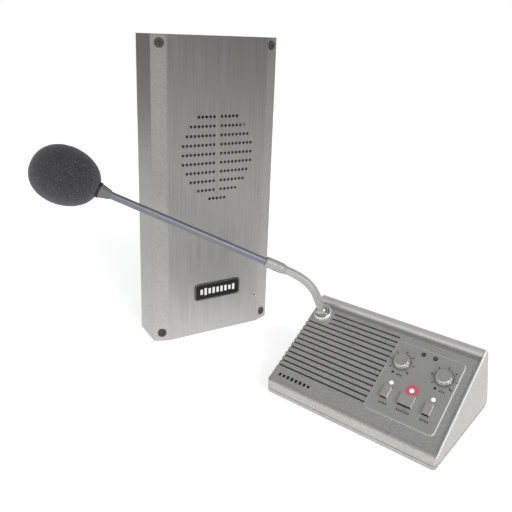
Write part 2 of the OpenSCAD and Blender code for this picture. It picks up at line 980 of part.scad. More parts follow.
module wall_cover() {
    color("silver")
        on_panel()
            difference() {
                linear_extrude(panel_h)
                    panel_outline(0);
                translate([0, 0, wall_t])
                    linear_extrude(panel_h - 2 * wall_t)
                        panel_outline(wall_t);
                translate([0, -1.5, wall_t])
                    linear_extrude(panel_h - 2 * wall_t)
                        square([panel_w - 2 * wall_t, 6], center = true);
                for (row = [0 : len(sound_rows) - 1], side = [-1, 1], i = [1 : sound_rows[row]])
                    sound_hole(side * i, row);
                for (i = [-2 : 2])
                    sound_hole(i, len(sound_rows));
                for (side = [-1, 1], z = corner_screw_z)
                    on_strip(side, z) {
                        translate([0, 0, -1])
                            cylinder(r = screw_head_r + 0.3, h = 3);
                        translate([0, 0, -5])
                            cylinder(r = 2.1, h = 8);
                    }
                translate([wall_mic_x, -panel_t - 1, wall_mic_z])
                    rotate([-90, 0, 0])
                        cylinder(r = wall_mic_r, h = wall_t + 2);
            }
}

module wall_back_plate() {
    gap = 0.3;
    inset = wall_t + gap;
    color("gray")
        on_panel()
            difference() {
                translate([inset - panel_w / 2, -wall_t, inset])
                    cube([panel_w - 2 * inset, wall_t, panel_h - 2 * inset]);
                for (k = [-1, 1])
                    translate([0, -wall_t - 1, panel_h / 2 + k * fixing_pitch / 2])
                        rotate([-90, 0, 0])
                            cylinder(r = 2.4, h = wall_t + 2);
                translate([0, -wall_t - 1, cable_z])
                    rotate([-90, 0, 0])
                        cylinder(r = cable_plug_r, h = wall_t + 2);
            }
}

// Four posts on the back plate, with a threaded hole for each corner screw
module cover_posts() {
    thread_l = 18;
    color("gray")
        on_panel()
            difference() {
                intersection() {
                    for (side = [-1, 1], z = corner_screw_z)
                        on_strip(side, z)
                            translate([0, 0, -panel_t - 10])
                                cylinder(r = post_r, h = panel_t + 10 - wall_t);
                    translate([-panel_w / 2, -panel_t, 0])
                        cube([panel_w, panel_t - wall_t, panel_h]);
                    translate([0, 0, wall_t + 0.3])
                        linear_extrude(panel_h - 2 * wall_t - 0.6)
                            panel_outline(wall_t);
                }
                for (side = [-1, 1], z = corner_screw_z)
                    on_strip(side, z)
                        translate([0, 0, -thread_l])
                            cylinder(r = 1.75, h = thread_l + 2);
            }
}

module wall_screws() {
    color("black")
        on_panel()
            for (side = [-1, 1], z = corner_screw_z)
                on_strip(side, z)
                    translate([0, 0, 0.9])
                        screw(screw_head_r, 1.9, 1.74, 14, 1);
}

module at_wall_speaker() {
    on_panel()
        translate([0, wall_speaker_y, sound_centre_z])
            rotate([90, 0, 0])
                children();
}

module wall_dust_cloth() {
    color("black")
        at_wall_speaker()
            cylinder(r = wall_speaker_r + 0.6, h = wall_cloth_t);
}

module wall_speaker_basket() {
    color("dimgray")
        at_wall_speaker()
            basket(wall_speaker_r, 20, 20);
}

module wall_speaker_cone() {
    color("black")
        at_wall_speaker()
            paper_cone(wall_speaker_r * 0.8, 14);
}

module wall_speaker_magnet() {
    color("slategray")
        at_wall_speaker()
            translate([0, 0, -30])
                cylinder(r = 20, h = 10);
}

// Studs inside the cover, each with a wide washer that holds the loudspeaker's rim
module wall_speaker_clamps() {
    rim_t = 1.5;
    color("silver")
        at_wall_speaker()
            for (a = [45 : 90 : 315])
                rotate([0, 0, a])
                    translate([wall_speaker_r + 2.8, 0, 0]) {
                        translate([0, 0, -rim_t - 1.6])
                            cylinder(r = 2, h = rim_t + 2.4);
                        translate([0, 0, -rim_t - 1])
                            cylinder(r = 4.2, h = 1);
                    }
}

module wall_mic_bushing() {
    flange_t = 0.5;
    color("gainsboro")
        on_panel()
            translate([wall_mic_x, -panel_t - flange_t, wall_mic_z])
                rotate([-90, 0, 0])
                    difference() {
                        union() {
                            cylinder(r = wall_mic_r + 0.8, h = flange_t);
                            cylinder(r = wall_mic_r, h = flange_t + bushing_l);
                        }
                        translate([0, 0, -1])
                            cylinder(r = 1, h = bushing_l + 3);
                    }
}

module wall_mic_capsule() {
    color("silver")
        on_panel()
            translate([wall_mic_x, bushing_l - panel_t, wall_mic_z])
                rotate([-90, 0, 0])
                    cylinder(r = 3, h = 5);
}

module terminal_block() {
    way_n = 4;
    way_pitch = 10;
    block_h = 11;
    color("green")
        on_panel()
            translate([-way_n * way_pitch / 2, -wall_t - block_h, cable_z + 14])
                difference() {
                    cube([way_n * way_pitch, block_h, 10]);
                    for (i = [0 : way_n - 1])
                        translate([(i + 0.5) * way_pitch, 3, 6])
                            cylinder(r = 2.4, h = 5);
                }
}

module cable_grommet() {
    flange_t = 1.6;
    color("black")
        on_panel()
            translate([0, -wall_t, cable_z])
                rotate([-90, 0, 0])
                    difference() {
                        union() {
                            translate([0, 0, -flange_t])
                                cylinder(r = cable_plug_r + 2, h = flange_t);
                            cylinder(r = cable_plug_r, h = wall_t);
                        }
                        translate([0, 0, -flange_t - 1])
                            cylinder(r = cable_r, h = wall_t + flange_t + 2);
                    }
}

module name_plate() {
    color("black")
        on_panel()
            translate([label_x, -panel_t, label_z])
                rotate([90, 0, 0])
                    linear_extrude(label_t)
                        round_rect(label_size[0], label_size[1], label_corner_r);
}

base_plate();
top_shell();
control_plate();
grille_cloth();
speaker_basket();
speaker_cone();
speaker_magnet();
speaker_screws();
control_board();
board_screws();
amplifier_board();
potentiometer(-1);  // left_potentiometer
potentiometer(1);  // right_potentiometer
potentiometer_nuts();
shaft(-1);  // left_shaft
shaft(1);  // right_shaft
knob(-1);  // left_knob
knob(1);  // right_knob
button(-1, side_button_w);  // left_button
button(0, centre_button_w);  // centre_button
button(1, side_button_w);  // right_button
button_switches();
side_lights();
centre_light();
upper_lights();
power_socket();
speaker_socket();
rubber_feet();
base_screws();
mic_ring();
mic_nut();
mic_dome();
neck_foot();
neck_link(1);  // neck_link_1
neck_link(2);  // neck_link_2
neck_link(3);  // neck_link_3
neck_link(4);  // neck_link_4
neck_link(5);  // neck_link_5
neck_ferrule();
boom_rod();
foam_collar();
capsule_housing();
mic_capsule();
foam_windscreen();
wall_cover();
wall_back_plate();
cover_posts();
wall_screws();
wall_speaker_basket();
wall_speaker_cone();
wall_speaker_magnet();
wall_speaker_clamps();
wall_dust_cloth();
wall_mic_bushing();
wall_mic_capsule();
terminal_block();
cable_grommet();
name_plate();
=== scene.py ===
"""Counter intercom: a sloped desk console with a gooseneck microphone, and the tall metal
loudspeaker unit that stands on the customer's side of the window. A size whose name ends in
_mm is in millimetres and becomes metres where it is used. Everything else is in metres."""
import json
import math
import bmesh
import bpy
from mathutils import Matrix, Vector, noise


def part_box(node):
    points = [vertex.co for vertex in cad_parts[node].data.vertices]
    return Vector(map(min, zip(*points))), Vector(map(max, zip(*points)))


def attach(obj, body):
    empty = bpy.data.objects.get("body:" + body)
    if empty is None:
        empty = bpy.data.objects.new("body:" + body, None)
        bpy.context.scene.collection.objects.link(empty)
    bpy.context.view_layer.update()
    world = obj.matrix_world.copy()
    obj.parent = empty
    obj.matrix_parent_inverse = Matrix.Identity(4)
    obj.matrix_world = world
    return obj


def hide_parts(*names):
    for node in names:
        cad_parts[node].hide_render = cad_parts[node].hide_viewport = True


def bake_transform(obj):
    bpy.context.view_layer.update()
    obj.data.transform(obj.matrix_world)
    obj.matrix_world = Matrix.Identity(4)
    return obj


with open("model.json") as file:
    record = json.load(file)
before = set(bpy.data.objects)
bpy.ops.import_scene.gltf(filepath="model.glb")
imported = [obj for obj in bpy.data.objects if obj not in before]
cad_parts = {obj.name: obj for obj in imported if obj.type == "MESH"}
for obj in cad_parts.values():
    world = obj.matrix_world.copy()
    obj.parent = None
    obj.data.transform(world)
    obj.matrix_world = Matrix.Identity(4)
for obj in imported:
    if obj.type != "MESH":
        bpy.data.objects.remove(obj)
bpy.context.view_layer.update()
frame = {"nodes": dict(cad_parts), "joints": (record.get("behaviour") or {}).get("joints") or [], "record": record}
MM = 0.001

# ------------------------------------------------------------------ camera
# The photograph joins two views. This one camera was fitted to the corners of both units:
# it looks down on the set from the front right, rolled a little to the left.
image_px = 512
focal_px = 600
axis_row_px = 216
camera_place = Vector((190.9, -410.4, 290.0)) * MM
camera_turn = math.radians(38.5)
camera_pitch = math.radians(16.8)
camera_roll = math.radians(2.1)

level = Vector((-math.sin(camera_turn), math.cos(camera_turn), 0))
right = Vector((math.cos(camera_turn), math.sin(camera_turn), 0))
forward = level * math.cos(camera_pitch) - Vector((0, 0, math.sin(camera_pitch)))
upward = right.cross(forward)
rolled_right = right * math.cos(camera_roll) + upward * math.sin(camera_roll)
rolled_up = upward * math.cos(camera_roll) - right * math.sin(camera_roll)
camera_data = bpy.data.cameras.new("photo_camera")
camera_data.sensor_width = 36
camera_data.lens = focal_px * camera_data.sensor_width / image_px
camera_data.shift_y = (axis_row_px - image_px / 2) / image_px
camera_data.clip_start = 0.01
camera = bpy.data.objects.new("photo_camera", camera_data)
camera.matrix_world = Matrix((rolled_right, rolled_up, -forward)).transposed().to_4x4()
camera.matrix_world.translation = camera_place
bpy.context.scene.collection.objects.link(camera)
bpy.context.scene.camera = camera


# ------------------------------------------------------------------ table and light
# The set stands on a sheet of white opal acrylic, lit from below as well as from above, in a white
# studio that grows darker towards its ceiling. One soft lamp stands at the right. Two dark cards, seen
# only in reflections, put the grey into the metal's sides.
def hex_rgb(code):
    """Linear colour of an sRGB hex value."""
    parts = [int(code[i:i + 2], 16) / 255 for i in (1, 3, 5)]
    return [p / 12.92 if p <= 0.04045 else ((p + 0.055) / 1.055) ** 2.4 for p in parts] + [1.0]


def add(tree, kind, sockets=None, stops=None, **settings):
    """Adds a node with its settings. A socket gets a value, or a link where that is an output."""
    node = tree.nodes.new(kind)
    for name, value in settings.items():
        setattr(node, name, value)
    for name, value in (sockets or {}).items():
        if isinstance(name, int):
            socket = node.inputs[name]
        else:
            socket = next(s for s in node.inputs if name in (s.identifier, s.name))
        if isinstance(value, bpy.types.NodeSocket):
            tree.links.new(value, socket)
        else:
            socket.default_value = value
    if stops:
        while len(node.color_ramp.elements) < len(stops):
            node.color_ramp.elements.new(0.5)
        for element, position in zip(node.color_ramp.elements, sorted(stops)):
            element.position = position
        for element in node.color_ramp.elements:
            element.color = hex_rgb(stops[min(stops, key=lambda p: abs(p - element.position))])
    return node


def start_material(name, **sockets):
    """A material's tree, its shader, and the object's own coordinates, which are metres in the frame."""
    material = bpy.data.materials.new(name)
    material.use_nodes = True
    tree = material.node_tree
    tree.nodes.clear()
    shader = add(tree, "ShaderNodeBsdfPrincipled", {k.replace("_", " "): v for k, v in sockets.items()})
    add(tree, "ShaderNodeOutputMaterial", {"Surface": shader.outputs["BSDF"]})
    place = add(tree, "ShaderNodeTexCoord").outputs["Object"]
    return material, tree, shader, place


def new_piece(name, mesh, *materials):
    piece = bpy.data.objects.new(name, mesh)
    bpy.context.scene.collection.objects.link(piece)
    for material in materials:
        piece.data.materials.append(material)
    return piece


table_reach = 1.5
cloud_width = 0.4

# Opal acrylic sheet, cast and matt: nearly even white, with very faint broad clouds
opal_acrylic, tree, shader, place = start_material(
    "opal_acrylic_sheet", Base_Color=hex_rgb("#ececec"), Roughness=0.6,
    Emission_Color=hex_rgb("#ffffff"), Emission_Strength=0.58)
cloud = add(tree, "ShaderNodeTexNoise", {"Vector": place, "Scale": 1 / cloud_width, "Detail": 1})
tone = add(tree, "ShaderNodeValToRGB", {"Fac": cloud.outputs["Fac"]}, {0.3: "#e9e9e9", 0.7: "#eeeeee"})
tree.links.new(tone.outputs["Color"], shader.inputs["Base Color"])

table_mesh = bpy.data.meshes.new("table")
table_corners = [(x * table_reach, y * table_reach, 0) for x, y in ((-1, -1), (1, -1), (1, 1), (-1, 1))]
table_mesh.from_pydata(table_corners, [], [(0, 1, 2, 3)])
table = new_piece("table", table_mesh, opal_acrylic)

# Each card is the direction it stands in, its tone, and the cosines from that direction at which it
# starts to show and is full.
cards = ((Vector((0.966, 0.26, 0.05)), "#383839", 0.68, 0.93),
         (Vector((-1.0, -0.22, 0.0)), "#848486", 0.8, 0.94))
studio = bpy.data.worlds.new("studio")
studio.use_nodes = True
tree = studio.node_tree
direction = add(tree, "ShaderNodeTexCoord").outputs["Generated"]
height = add(tree, "ShaderNodeSeparateXYZ", {"Vector": direction}).outputs["Z"]
walls = add(tree, "ShaderNodeValToRGB", {"Fac": height},
            {0.0: "#ffffff", 0.3: "#ffffff", 0.6: "#aeafb1", 0.85: "#959699"}).outputs["Color"]
for card, tone, start, full in cards:
    facing = add(tree, "ShaderNodeVectorMath", {0: direction, 1: card.normalized()},
                 operation="DOT_PRODUCT").outputs["Value"]
    shade = add(tree, "ShaderNodeMapRange", {"Value": facing, "From Min": start, "From Max": full},
                interpolation_type="SMOOTHSTEP").outputs["Result"]
    walls = add(tree, "ShaderNodeMix", {"Factor_Float": shade, "A_Color": walls, "B_Color": hex_rgb(tone)},
                data_type="RGBA").outputs[2]
seen = add(tree, "ShaderNodeLightPath").outputs["Is Camera Ray"]
backdrop = add(tree, "ShaderNodeMix", {"Factor_Float": seen, "A_Color": walls,
                                       "B_Color": hex_rgb("#ffffff")}, data_type="RGBA").outputs[2]
tree.links.new(backdrop, tree.nodes["Background"].inputs["Color"])
tree.nodes["Background"].inputs["Strength"].default_value = 1.0
bpy.context.scene.world = studio
bpy.context.scene.view_settings.view_transform = "Standard"

lamp_power = 1.25
lamp_softness = math.radians(30)
lamp_from = Vector((0.85, -0.30, 0.55))
lamp_data = bpy.data.lights.new("soft_lamp", "SUN")
lamp_data.energy = lamp_power
lamp_data.angle = lamp_softness
lamp = bpy.data.objects.new("soft_lamp", lamp_data)
lamp.rotation_euler = lamp_from.to_track_quat("Z", "Y").to_euler()
bpy.context.scene.collection.objects.link(lamp)


# ------------------------------------------------------------------ console shell and base tray
# Two injection-moulded ABS halves, sprayed with silver-grey lacquer. The tray's edge shows as a
# thin lighter band under the shell, and four screws hold the halves together from below.
def keep(piece, body, slot, *nodes):
    """The finished piece rides on its body and stands for the CAD nodes it replaces. Its slot is not used."""
    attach(piece, body)
    if nodes:
        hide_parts(*nodes)
    return piece


def flatten(piece):
    """Turns a piece with its modifiers into a plain mesh."""
    bpy.context.view_layer.update()
    shaped = piece.evaluated_get(bpy.context.evaluated_depsgraph_get())
    mesh = bpy.data.meshes.new_from_object(shaped)
    piece.modifiers.clear()
    piece.data = mesh
    return piece


def rounded(node, edge_mm, *materials, segments=2, sharp=30):
    """A copy of a CAD node with its doubles merged, its flat faces joined and its edges rounded."""
    work = bmesh.new()
    work.from_mesh(frame["nodes"][node].data)
    bmesh.ops.remove_doubles(work, verts=work.verts, dist=2e-6)
    bmesh.ops.dissolve_limit(work, angle_limit=math.radians(0.5), verts=work.verts, edges=work.edges)
    mesh = bpy.data.meshes.new(node)
    work.to_mesh(mesh)
    work.free()
    piece = new_piece(node + "_finished", mesh, *materials)
    piece.data.shade_smooth()
    bevel = piece.modifiers.new("edges", "BEVEL")
    bevel.width = edge_mm * MM
    bevel.segments = segments
    bevel.limit_method = "ANGLE"
    bevel.angle_limit = math.radians(sharp)
    even = piece.modifiers.new("even", "WEIGHTED_NORMAL")
    even.weight = 100
    return flatten(piece)


def dress(material, *nodes):
    """Gives a material to CAD nodes whose own shape stays."""
    for node in nodes:
        frame["nodes"][node].data.materials.clear()
        frame["nodes"][node].data.materials.append(material)


def grainy(name, grain_mm, relief_mm, dark, light, **sockets):
    """A moulded or sprayed surface: two tones in a fine grain over broad soft clouds, with its relief."""
    material, tree, shader, place = start_material(name, **sockets)
    grain = add(tree, "ShaderNodeTexNoise", {"Vector": place, "Scale": 1 / (grain_mm * MM), "Detail": 2})
    cloud = add(tree, "ShaderNodeTexNoise", {"Vector": place, "Scale": 1 / (22 * grain_mm * MM),
                                             "Detail": 2})
    both = add(tree, "ShaderNodeMath", {0: cloud.outputs["Fac"], 1: 0.16, 2: -0.08},
               operation="MULTIPLY_ADD")
    both = add(tree, "ShaderNodeMath", {0: both.outputs[0], 1: grain.outputs["Fac"]}, operation="ADD")
    tone = add(tree, "ShaderNodeValToRGB", {"Fac": both.outputs[0]}, {0.3: dark, 0.7: light})
    relief = add(tree, "ShaderNodeBump", {"Height": grain.outputs["Fac"], "Distance": relief_mm * MM})
    tree.links.new(tone.outputs["Color"], shader.inputs["Base Color"])
    tree.links.new(relief.outputs["Normal"], shader.inputs["Normal"])
    return material, tree, shader, place


joints = {joint["name"]: joint for joint in frame["joints"]}
face_out = Vector(joints["left_knob_turn"]["axis"])
face_across = Vector((1, 0, 0))
face_up = face_out.cross(face_across)
plate_top = Vector(joints["left_knob_turn"]["pos_m"])
plate_t_mm = 0.8


def mapped(tree, place, origin, across, up):
    """The object's own coordinates seen from a face: x across it, y up along it, z out of it."""
    turn = Matrix((across, up, across.cross(up)))
    return add(tree, "ShaderNodeMapping", {"Vector": place, "Location": -(turn @ origin),
                                           "Rotation": turn.to_euler()}).outputs["Vector"]


def inside(tree, spot, low_mm, high_mm):
    """1 where a mapped spot lies in a box of the face's own millimetres, 0 elsewhere."""
    parts = add(tree, "ShaderNodeSeparateXYZ", {"Vector": spot}).outputs
    mask = 1.0
    for part, low, high in zip(parts, low_mm, high_mm):
        near = add(tree, "ShaderNodeMath", {0: part, 1: (low + high) / 2 * MM, 2: (high - low) / 2 * MM},
                   operation="COMPARE").outputs[0]
        mask = add(tree, "ShaderNodeMath", {0: near, 1: mask}, operation="MULTIPLY").outputs[0]
    return mask


def repaint(tree, shader, mask, code):
    """Mixes one more colour over the base colour where the mask is 1."""
    under = shader.inputs["Base Color"].links[0].from_socket
    mixed = add(tree, "ShaderNodeMix", {"Factor_Float": mask, "A_Color": under, "B_Color": hex_rgb(code)},
                data_type="RGBA").outputs[2]
    tree.links.new(mixed, shader.inputs["Base Color"])


def paint_highlight(tree, shader, mask):
    """Where the mask is 1 a painted highlight: the surface is painted white and loses its metal look."""
    repaint(tree, shader, mask, "#ffffff")
    metal = shader.inputs["Metallic"].default_value
    dulled = add(tree, "ShaderNodeMapRange", {"Value": mask, "To Min": metal, "To Max": 0.0})
    tree.links.new(dulled.outputs["Result"], shader.inputs["Metallic"])


# ABS with a sprayed silver lacquer: flakes drawn a few times coarser than real give the speckle. The
# groove floors are painted dark as painted shade, and the seam between the two halves is dark too.
# The rear lip is painted pale as a painted highlight, and the dip before it grey as painted shade. The
# right edge ridge is painted white as a painted highlight. The masks are in the face's millimetres from the left
# knob: across, up and out.
sprayed_abs, tree, shader, place = grainy("sprayed_silver_ABS", 0.9, 0.035, "#a9a8a3", "#cfcec9",
                                          Metallic=0.55, Roughness=0.42)
face_origin = plate_top - face_out * plate_t_mm * MM
on_console = mapped(tree, place, face_origin, face_across, face_up)
shell_low, shell_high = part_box("top_shell")
left_mm = (shell_low.x - face_origin.x) / MM
right_mm = (shell_high.x - face_origin.x) / MM
plate_left_mm = (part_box("control_plate")[0].x - face_origin.x) / MM
groove_low_mm, groove_high_mm = -45, 24
groove_floor_mm, groove_wall_mm = -1.9, -0.75
# Painted shade: the groove floors are painted dark.
groove_painted_shade = inside(tree, on_console, (left_mm + 0.3, groove_low_mm, groove_floor_mm),
                 (plate_left_mm, groove_high_mm, groove_wall_mm))
repaint(tree, shader, groove_painted_shade, "#5c5c59")
lip_mm = max((v.co - face_origin).dot(face_up) for v in frame["nodes"]["top_shell"].data.vertices) / MM
lip_foot_mm = lip_mm - 9
# Painted highlight: the top of the rear lip is painted pale.
lip_painted_highlight = inside(tree, on_console, (left_mm - 1, lip_foot_mm, 0.9), (right_mm + 1, lip_mm + 1, 3))
repaint(tree, shader, lip_painted_highlight, "#dddcd8")
# Painted shade: the dip in front of the rear lip is painted a darker grey.
hollow_painted_shade = inside(tree, on_console, (left_mm - 1, lip_foot_mm - 3.5, -0.5),
                (right_mm - 0.8, lip_foot_mm, 0.85))
repaint(tree, shader, hollow_painted_shade, "#a3a29d")
# Painted highlight: the right rim is painted white and loses its metal look.
rim_painted_highlight = inside(tree, on_console, (right_mm - 0.7, -60, -0.3), (right_mm + 0.1, 40, 2.6))
paint_highlight(tree, shader, rim_painted_highlight)
seam_mm = shell_low.z / MM
all_round_mm = 90
seam = inside(tree, place, (-all_round_mm, -all_round_mm, seam_mm - 0.1),
              (all_round_mm, all_round_mm, seam_mm + 0.4))
repaint(tree, shader, seam, "#2e2e2d")

# The tray has the same lacquer, sprayed a little thinner, and is dark where the shell covers it
tray_abs, tree, shader, place = grainy("sprayed_silver_ABS_tray", 0.9, 0.035, "#a6a5a0", "#cac9c4",
                                       Metallic=0.5, Roughness=0.45)
seam = inside(tree, place, (-all_round_mm, -all_round_mm, seam_mm - 0.3),
              (all_round_mm, all_round_mm, seam_mm + 2))
repaint(tree, shader, seam, "#2e2e2d")

keep(rounded("top_shell", 0.35, sprayed_abs), "console", "console_shell", "top_shell")
keep(rounded("base_plate", 0.4, tray_abs), "console", "console_tray", "base_plate")

# Natural rubber, moulded with a dull skin that gathers dust in its low spots
foot_rubber, *_ = grainy("moulded_rubber", 1.1, 0.05, "#161616", "#2a2a29", Roughness=0.82)
keep(rounded("rubber_feet", 0.4, foot_rubber), "console", "black_rubber", "rubber_feet")

# Steel screws in black oxide: near black, with a soft oily shine on the domed heads
black_oxide, *_ = grainy("black_oxide_steel", 0.7, 0.012, "#41403e", "#57564f", Metallic=0.7, Roughness=0.4)
keep(rounded("base_screws", 0.25, black_oxide), "console", "black_steel", "base_screws")


# ------------------------------------------------------------------ grille loudspeaker
# Behind the slots a black acoustic cloth covers a small paper-cone loudspeaker, which is held by
# four screws with washers. Stamped steel frame, pulp cone, ferrite ring magnet.
def woven(name, thread_mm, dark, light):
    """Plain-weave acoustic cloth: crossed threads, drawn four times coarser than real so that they show."""
    material, tree, shader, place = start_material(name, Roughness=0.95, Sheen_Weight=0.3)
    crossed = add(tree, "ShaderNodeTexChecker", {"Vector": place, "Scale": 1 / (4 * thread_mm * MM),
                                                "Color1": hex_rgb(dark), "Color2": hex_rgb(light)})
    relief = add(tree, "ShaderNodeBump", {"Height": crossed.outputs["Fac"], "Distance": 0.05 * MM})
    tree.links.new(crossed.outputs["Color"], shader.inputs["Base Color"])
    tree.links.new(relief.outputs["Normal"], shader.inputs["Normal"])
    return material


# Polyester cloth: dull and nearly black, with a fine pale net of threads
grille_weave = woven("acoustic_cloth", 0.25, "#383836", "#464644")
# Stamped steel in black stoving enamel: smooth, with a soft shine
stamped_steel, *_ = grainy("painted_stamped_steel", 1.4, 0.02, "#1b1b1c", "#29292a",
                           Metallic=0.2, Roughness=0.45)
# Paper pulp, pressed and dyed: matt, with short fibres in it
pulp, *_ = grainy("pressed_paper_pulp", 0.6, 0.08, "#131313", "#232220", Roughness=0.95)
# Sintered ferrite: dark grey and finely gritty
ferrite, *_ = grainy("sintered_ferrite", 0.5, 0.03, "#2a2a2c", "#3b3b3d", Metallic=0.3, Roughness=0.6)
# Steel with bright nickel plating: smooth and warm white
nickel, *_ = grainy("nickel_plated_steel", 2.5, 0.004, "#b8b6b0", "#cfcdc8", Metallic=1.0, Roughness=0.22)
dress(grille_weave, "grille_cloth", "wall_dust_cloth")
dress(stamped_steel, "speaker_basket", "wall_speaker_basket")
dress(pulp, "speaker_cone", "wall_speaker_cone")
dress(ferrite, "speaker_magnet", "wall_speaker_magnet")
dress(nickel, "speaker_screws", "wall_speaker_clamps")


# ------------------------------------------------------------------ control plate
# A thin plate with a satin overlay, glued on the sloped face. Its marks are printed: ticks and a
# few short bars round each knob, a small group of bars below each button.
def middle(node):
    low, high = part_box(node)
    return (low + high) / 2


def on_plate(point, out_mm=0.0):
    """The point of the control plate's top that lies under or over a point, lifted off it."""
    return point + face_out * ((plate_top - point).dot(face_out) + out_mm * MM)


def seat(centre, out, across):
    """Turns a mesh made round +Z, in metres, so that its Z runs along out and its X along across."""
    turned = Matrix((across, out.cross(across), out)).transposed().to_4x4()
    turned.translation = centre
    return turned


def start_tree(name, **kinds):
    """A Geometry Nodes tree with one named input for each size, and one for its finish."""
    tree = bpy.data.node_groups.new(name, "GeometryNodeTree")
    tree.interface.new_socket("Geometry", in_out="INPUT", socket_type="NodeSocketGeometry")
    tree.interface.new_socket("Geometry", in_out="OUTPUT", socket_type="NodeSocketGeometry")
    for size, kind in kinds.items():
        tree.interface.new_socket(size, in_out="INPUT", socket_type="NodeSocket" + kind)
    tree.interface.new_socket("Finish", in_out="INPUT", socket_type="NodeSocketMaterial")
    return tree, add(tree, "NodeGroupInput").outputs


def end_tree(tree, given, geometry):
    """Every tree ends in real geometry with its material set."""
    real = add(tree, "GeometryNodeRealizeInstances", {"Geometry": geometry}).outputs["Geometry"]
    finished = add(tree, "GeometryNodeSetMaterial", {"Geometry": real, "Material": given["Finish"]})
    add(tree, "NodeGroupOutput", {"Geometry": finished.outputs["Geometry"]})
    return tree


def grow(name, tree, place, finish, start=None, **sizes):
    """Runs a tree with its inputs set, makes the result a plain mesh and puts it in its place."""
    piece = new_piece(name, start or bpy.data.meshes.new(name))
    modifier = piece.modifiers.new(tree.name, "NODES")
    modifier.node_group = tree
    given = (item for item in tree.interface.items_tree if item.in_out == "INPUT")
    identifiers = {item.name: item.identifier for item in given}
    for size, value in {**sizes, "Finish": finish}.items():
        modifier[identifiers[size]] = value
    flatten(piece)
    piece.data.transform(place)
    return piece


ring_of_marks, given = start_tree("ring_of_marks", Count="Int", Radius="Float", First="Float", Step="Float",
                                  Length="Float", Width="Float", Height="Float")
tree = ring_of_marks
number = add(tree, "GeometryNodeInputIndex").outputs["Index"]
angle = add(tree, "ShaderNodeMath", {0: number, 1: given["Step"], 2: given["First"]},
            operation="MULTIPLY_ADD").outputs[0]
turn = add(tree, "ShaderNodeCombineXYZ", {"Z": angle}).outputs["Vector"]
across = add(tree, "ShaderNodeMath", {0: angle}, operation="COSINE").outputs[0]
along = add(tree, "ShaderNodeMath", {0: angle}, operation="SINE").outputs[0]
spoke = add(tree, "ShaderNodeCombineXYZ", {"X": across, "Y": along}).outputs["Vector"]
spot = add(tree, "ShaderNodeVectorMath", {0: spoke, "Scale": given["Radius"]}, operation="SCALE").outputs[0]
spots = add(tree, "GeometryNodePoints", {"Count": given["Count"], "Position": spot}).outputs[0]
size = add(tree, "ShaderNodeCombineXYZ", {"X": given["Length"], "Y": given["Width"], "Z": given["Height"]})
bar = add(tree, "GeometryNodeMeshCube", {"Size": size.outputs["Vector"]}).outputs["Mesh"]
aimed = add(tree, "FunctionNodeEulerToRotation", {"Euler": turn}).outputs["Rotation"]
marks = add(tree, "GeometryNodeInstanceOnPoints", {"Points": spots, "Instance": bar, "Rotation": aimed})
end_tree(tree, given, marks.outputs["Instances"])

row_of_bars, given = start_tree("row_of_bars", Count="Int", Pitch="Float", Width="Float", Shortest="Float",
                                Tallest="Float", Height="Float", Seed="Int")
tree = row_of_bars
number = add(tree, "GeometryNodeInputIndex").outputs["Index"]
tall = add(tree, "FunctionNodeRandomValue", {"Min_001": given["Shortest"], "Max_001": given["Tallest"],
                                             "ID": number, "Seed": given["Seed"]}).outputs[1]
halfway = add(tree, "ShaderNodeMath", {0: given["Count"], 1: 0.5, 2: -0.5},
              operation="MULTIPLY_ADD").outputs[0]
steps = add(tree, "ShaderNodeMath", {0: number, 1: halfway}, operation="SUBTRACT").outputs[0]
across = add(tree, "ShaderNodeMath", {0: steps, 1: given["Pitch"]}, operation="MULTIPLY").outputs[0]
spot = add(tree, "ShaderNodeCombineXYZ", {"X": across}).outputs["Vector"]
spots = add(tree, "GeometryNodePoints", {"Count": given["Count"], "Position": spot}).outputs[0]
bar = add(tree, "GeometryNodeMeshCube", {"Size": (1, 1, 1)}).outputs["Mesh"]
size = add(tree, "ShaderNodeCombineXYZ", {"X": given["Width"], "Y": tall, "Z": given["Height"]})
marks = add(tree, "GeometryNodeInstanceOnPoints", {"Points": spots, "Instance": bar,
                                                   "Scale": size.outputs["Vector"]})
end_tree(tree, given, marks.outputs["Instances"])

# Polyester overlay with a satin grain: a little smoother and greener than the shell round it. Its
# edge carries a painted highlight, pale and strongest at the right. The red light's glow fades out within
# millimetres.
glow_mm = 6.2
red_centre = on_plate(middle("centre_light"))


def glow(tree, shader, place, reach_mm):
    """Light that the red lens throws on what is round it, strongest at the lens."""
    away = add(tree, "ShaderNodeVectorMath", {0: place, 1: red_centre}, operation="DISTANCE")
    away = away.outputs["Value"]
    near = add(tree, "ShaderNodeMapRange", {"Value": away, "From Min": reach_mm * MM,
                                            "From Max": 0.7 * reach_mm * MM, "To Max": 0.92},
               interpolation_type="SMOOTHSTEP").outputs["Result"]
    repaint(tree, shader, near, "#f07c90")
    shader.inputs["Emission Color"].default_value = hex_rgb("#c0586e")
    warmth = add(tree, "ShaderNodeMath", {0: near, 1: 0.1}, operation="MULTIPLY").outputs[0]
    tree.links.new(warmth, shader.inputs["Emission Strength"])


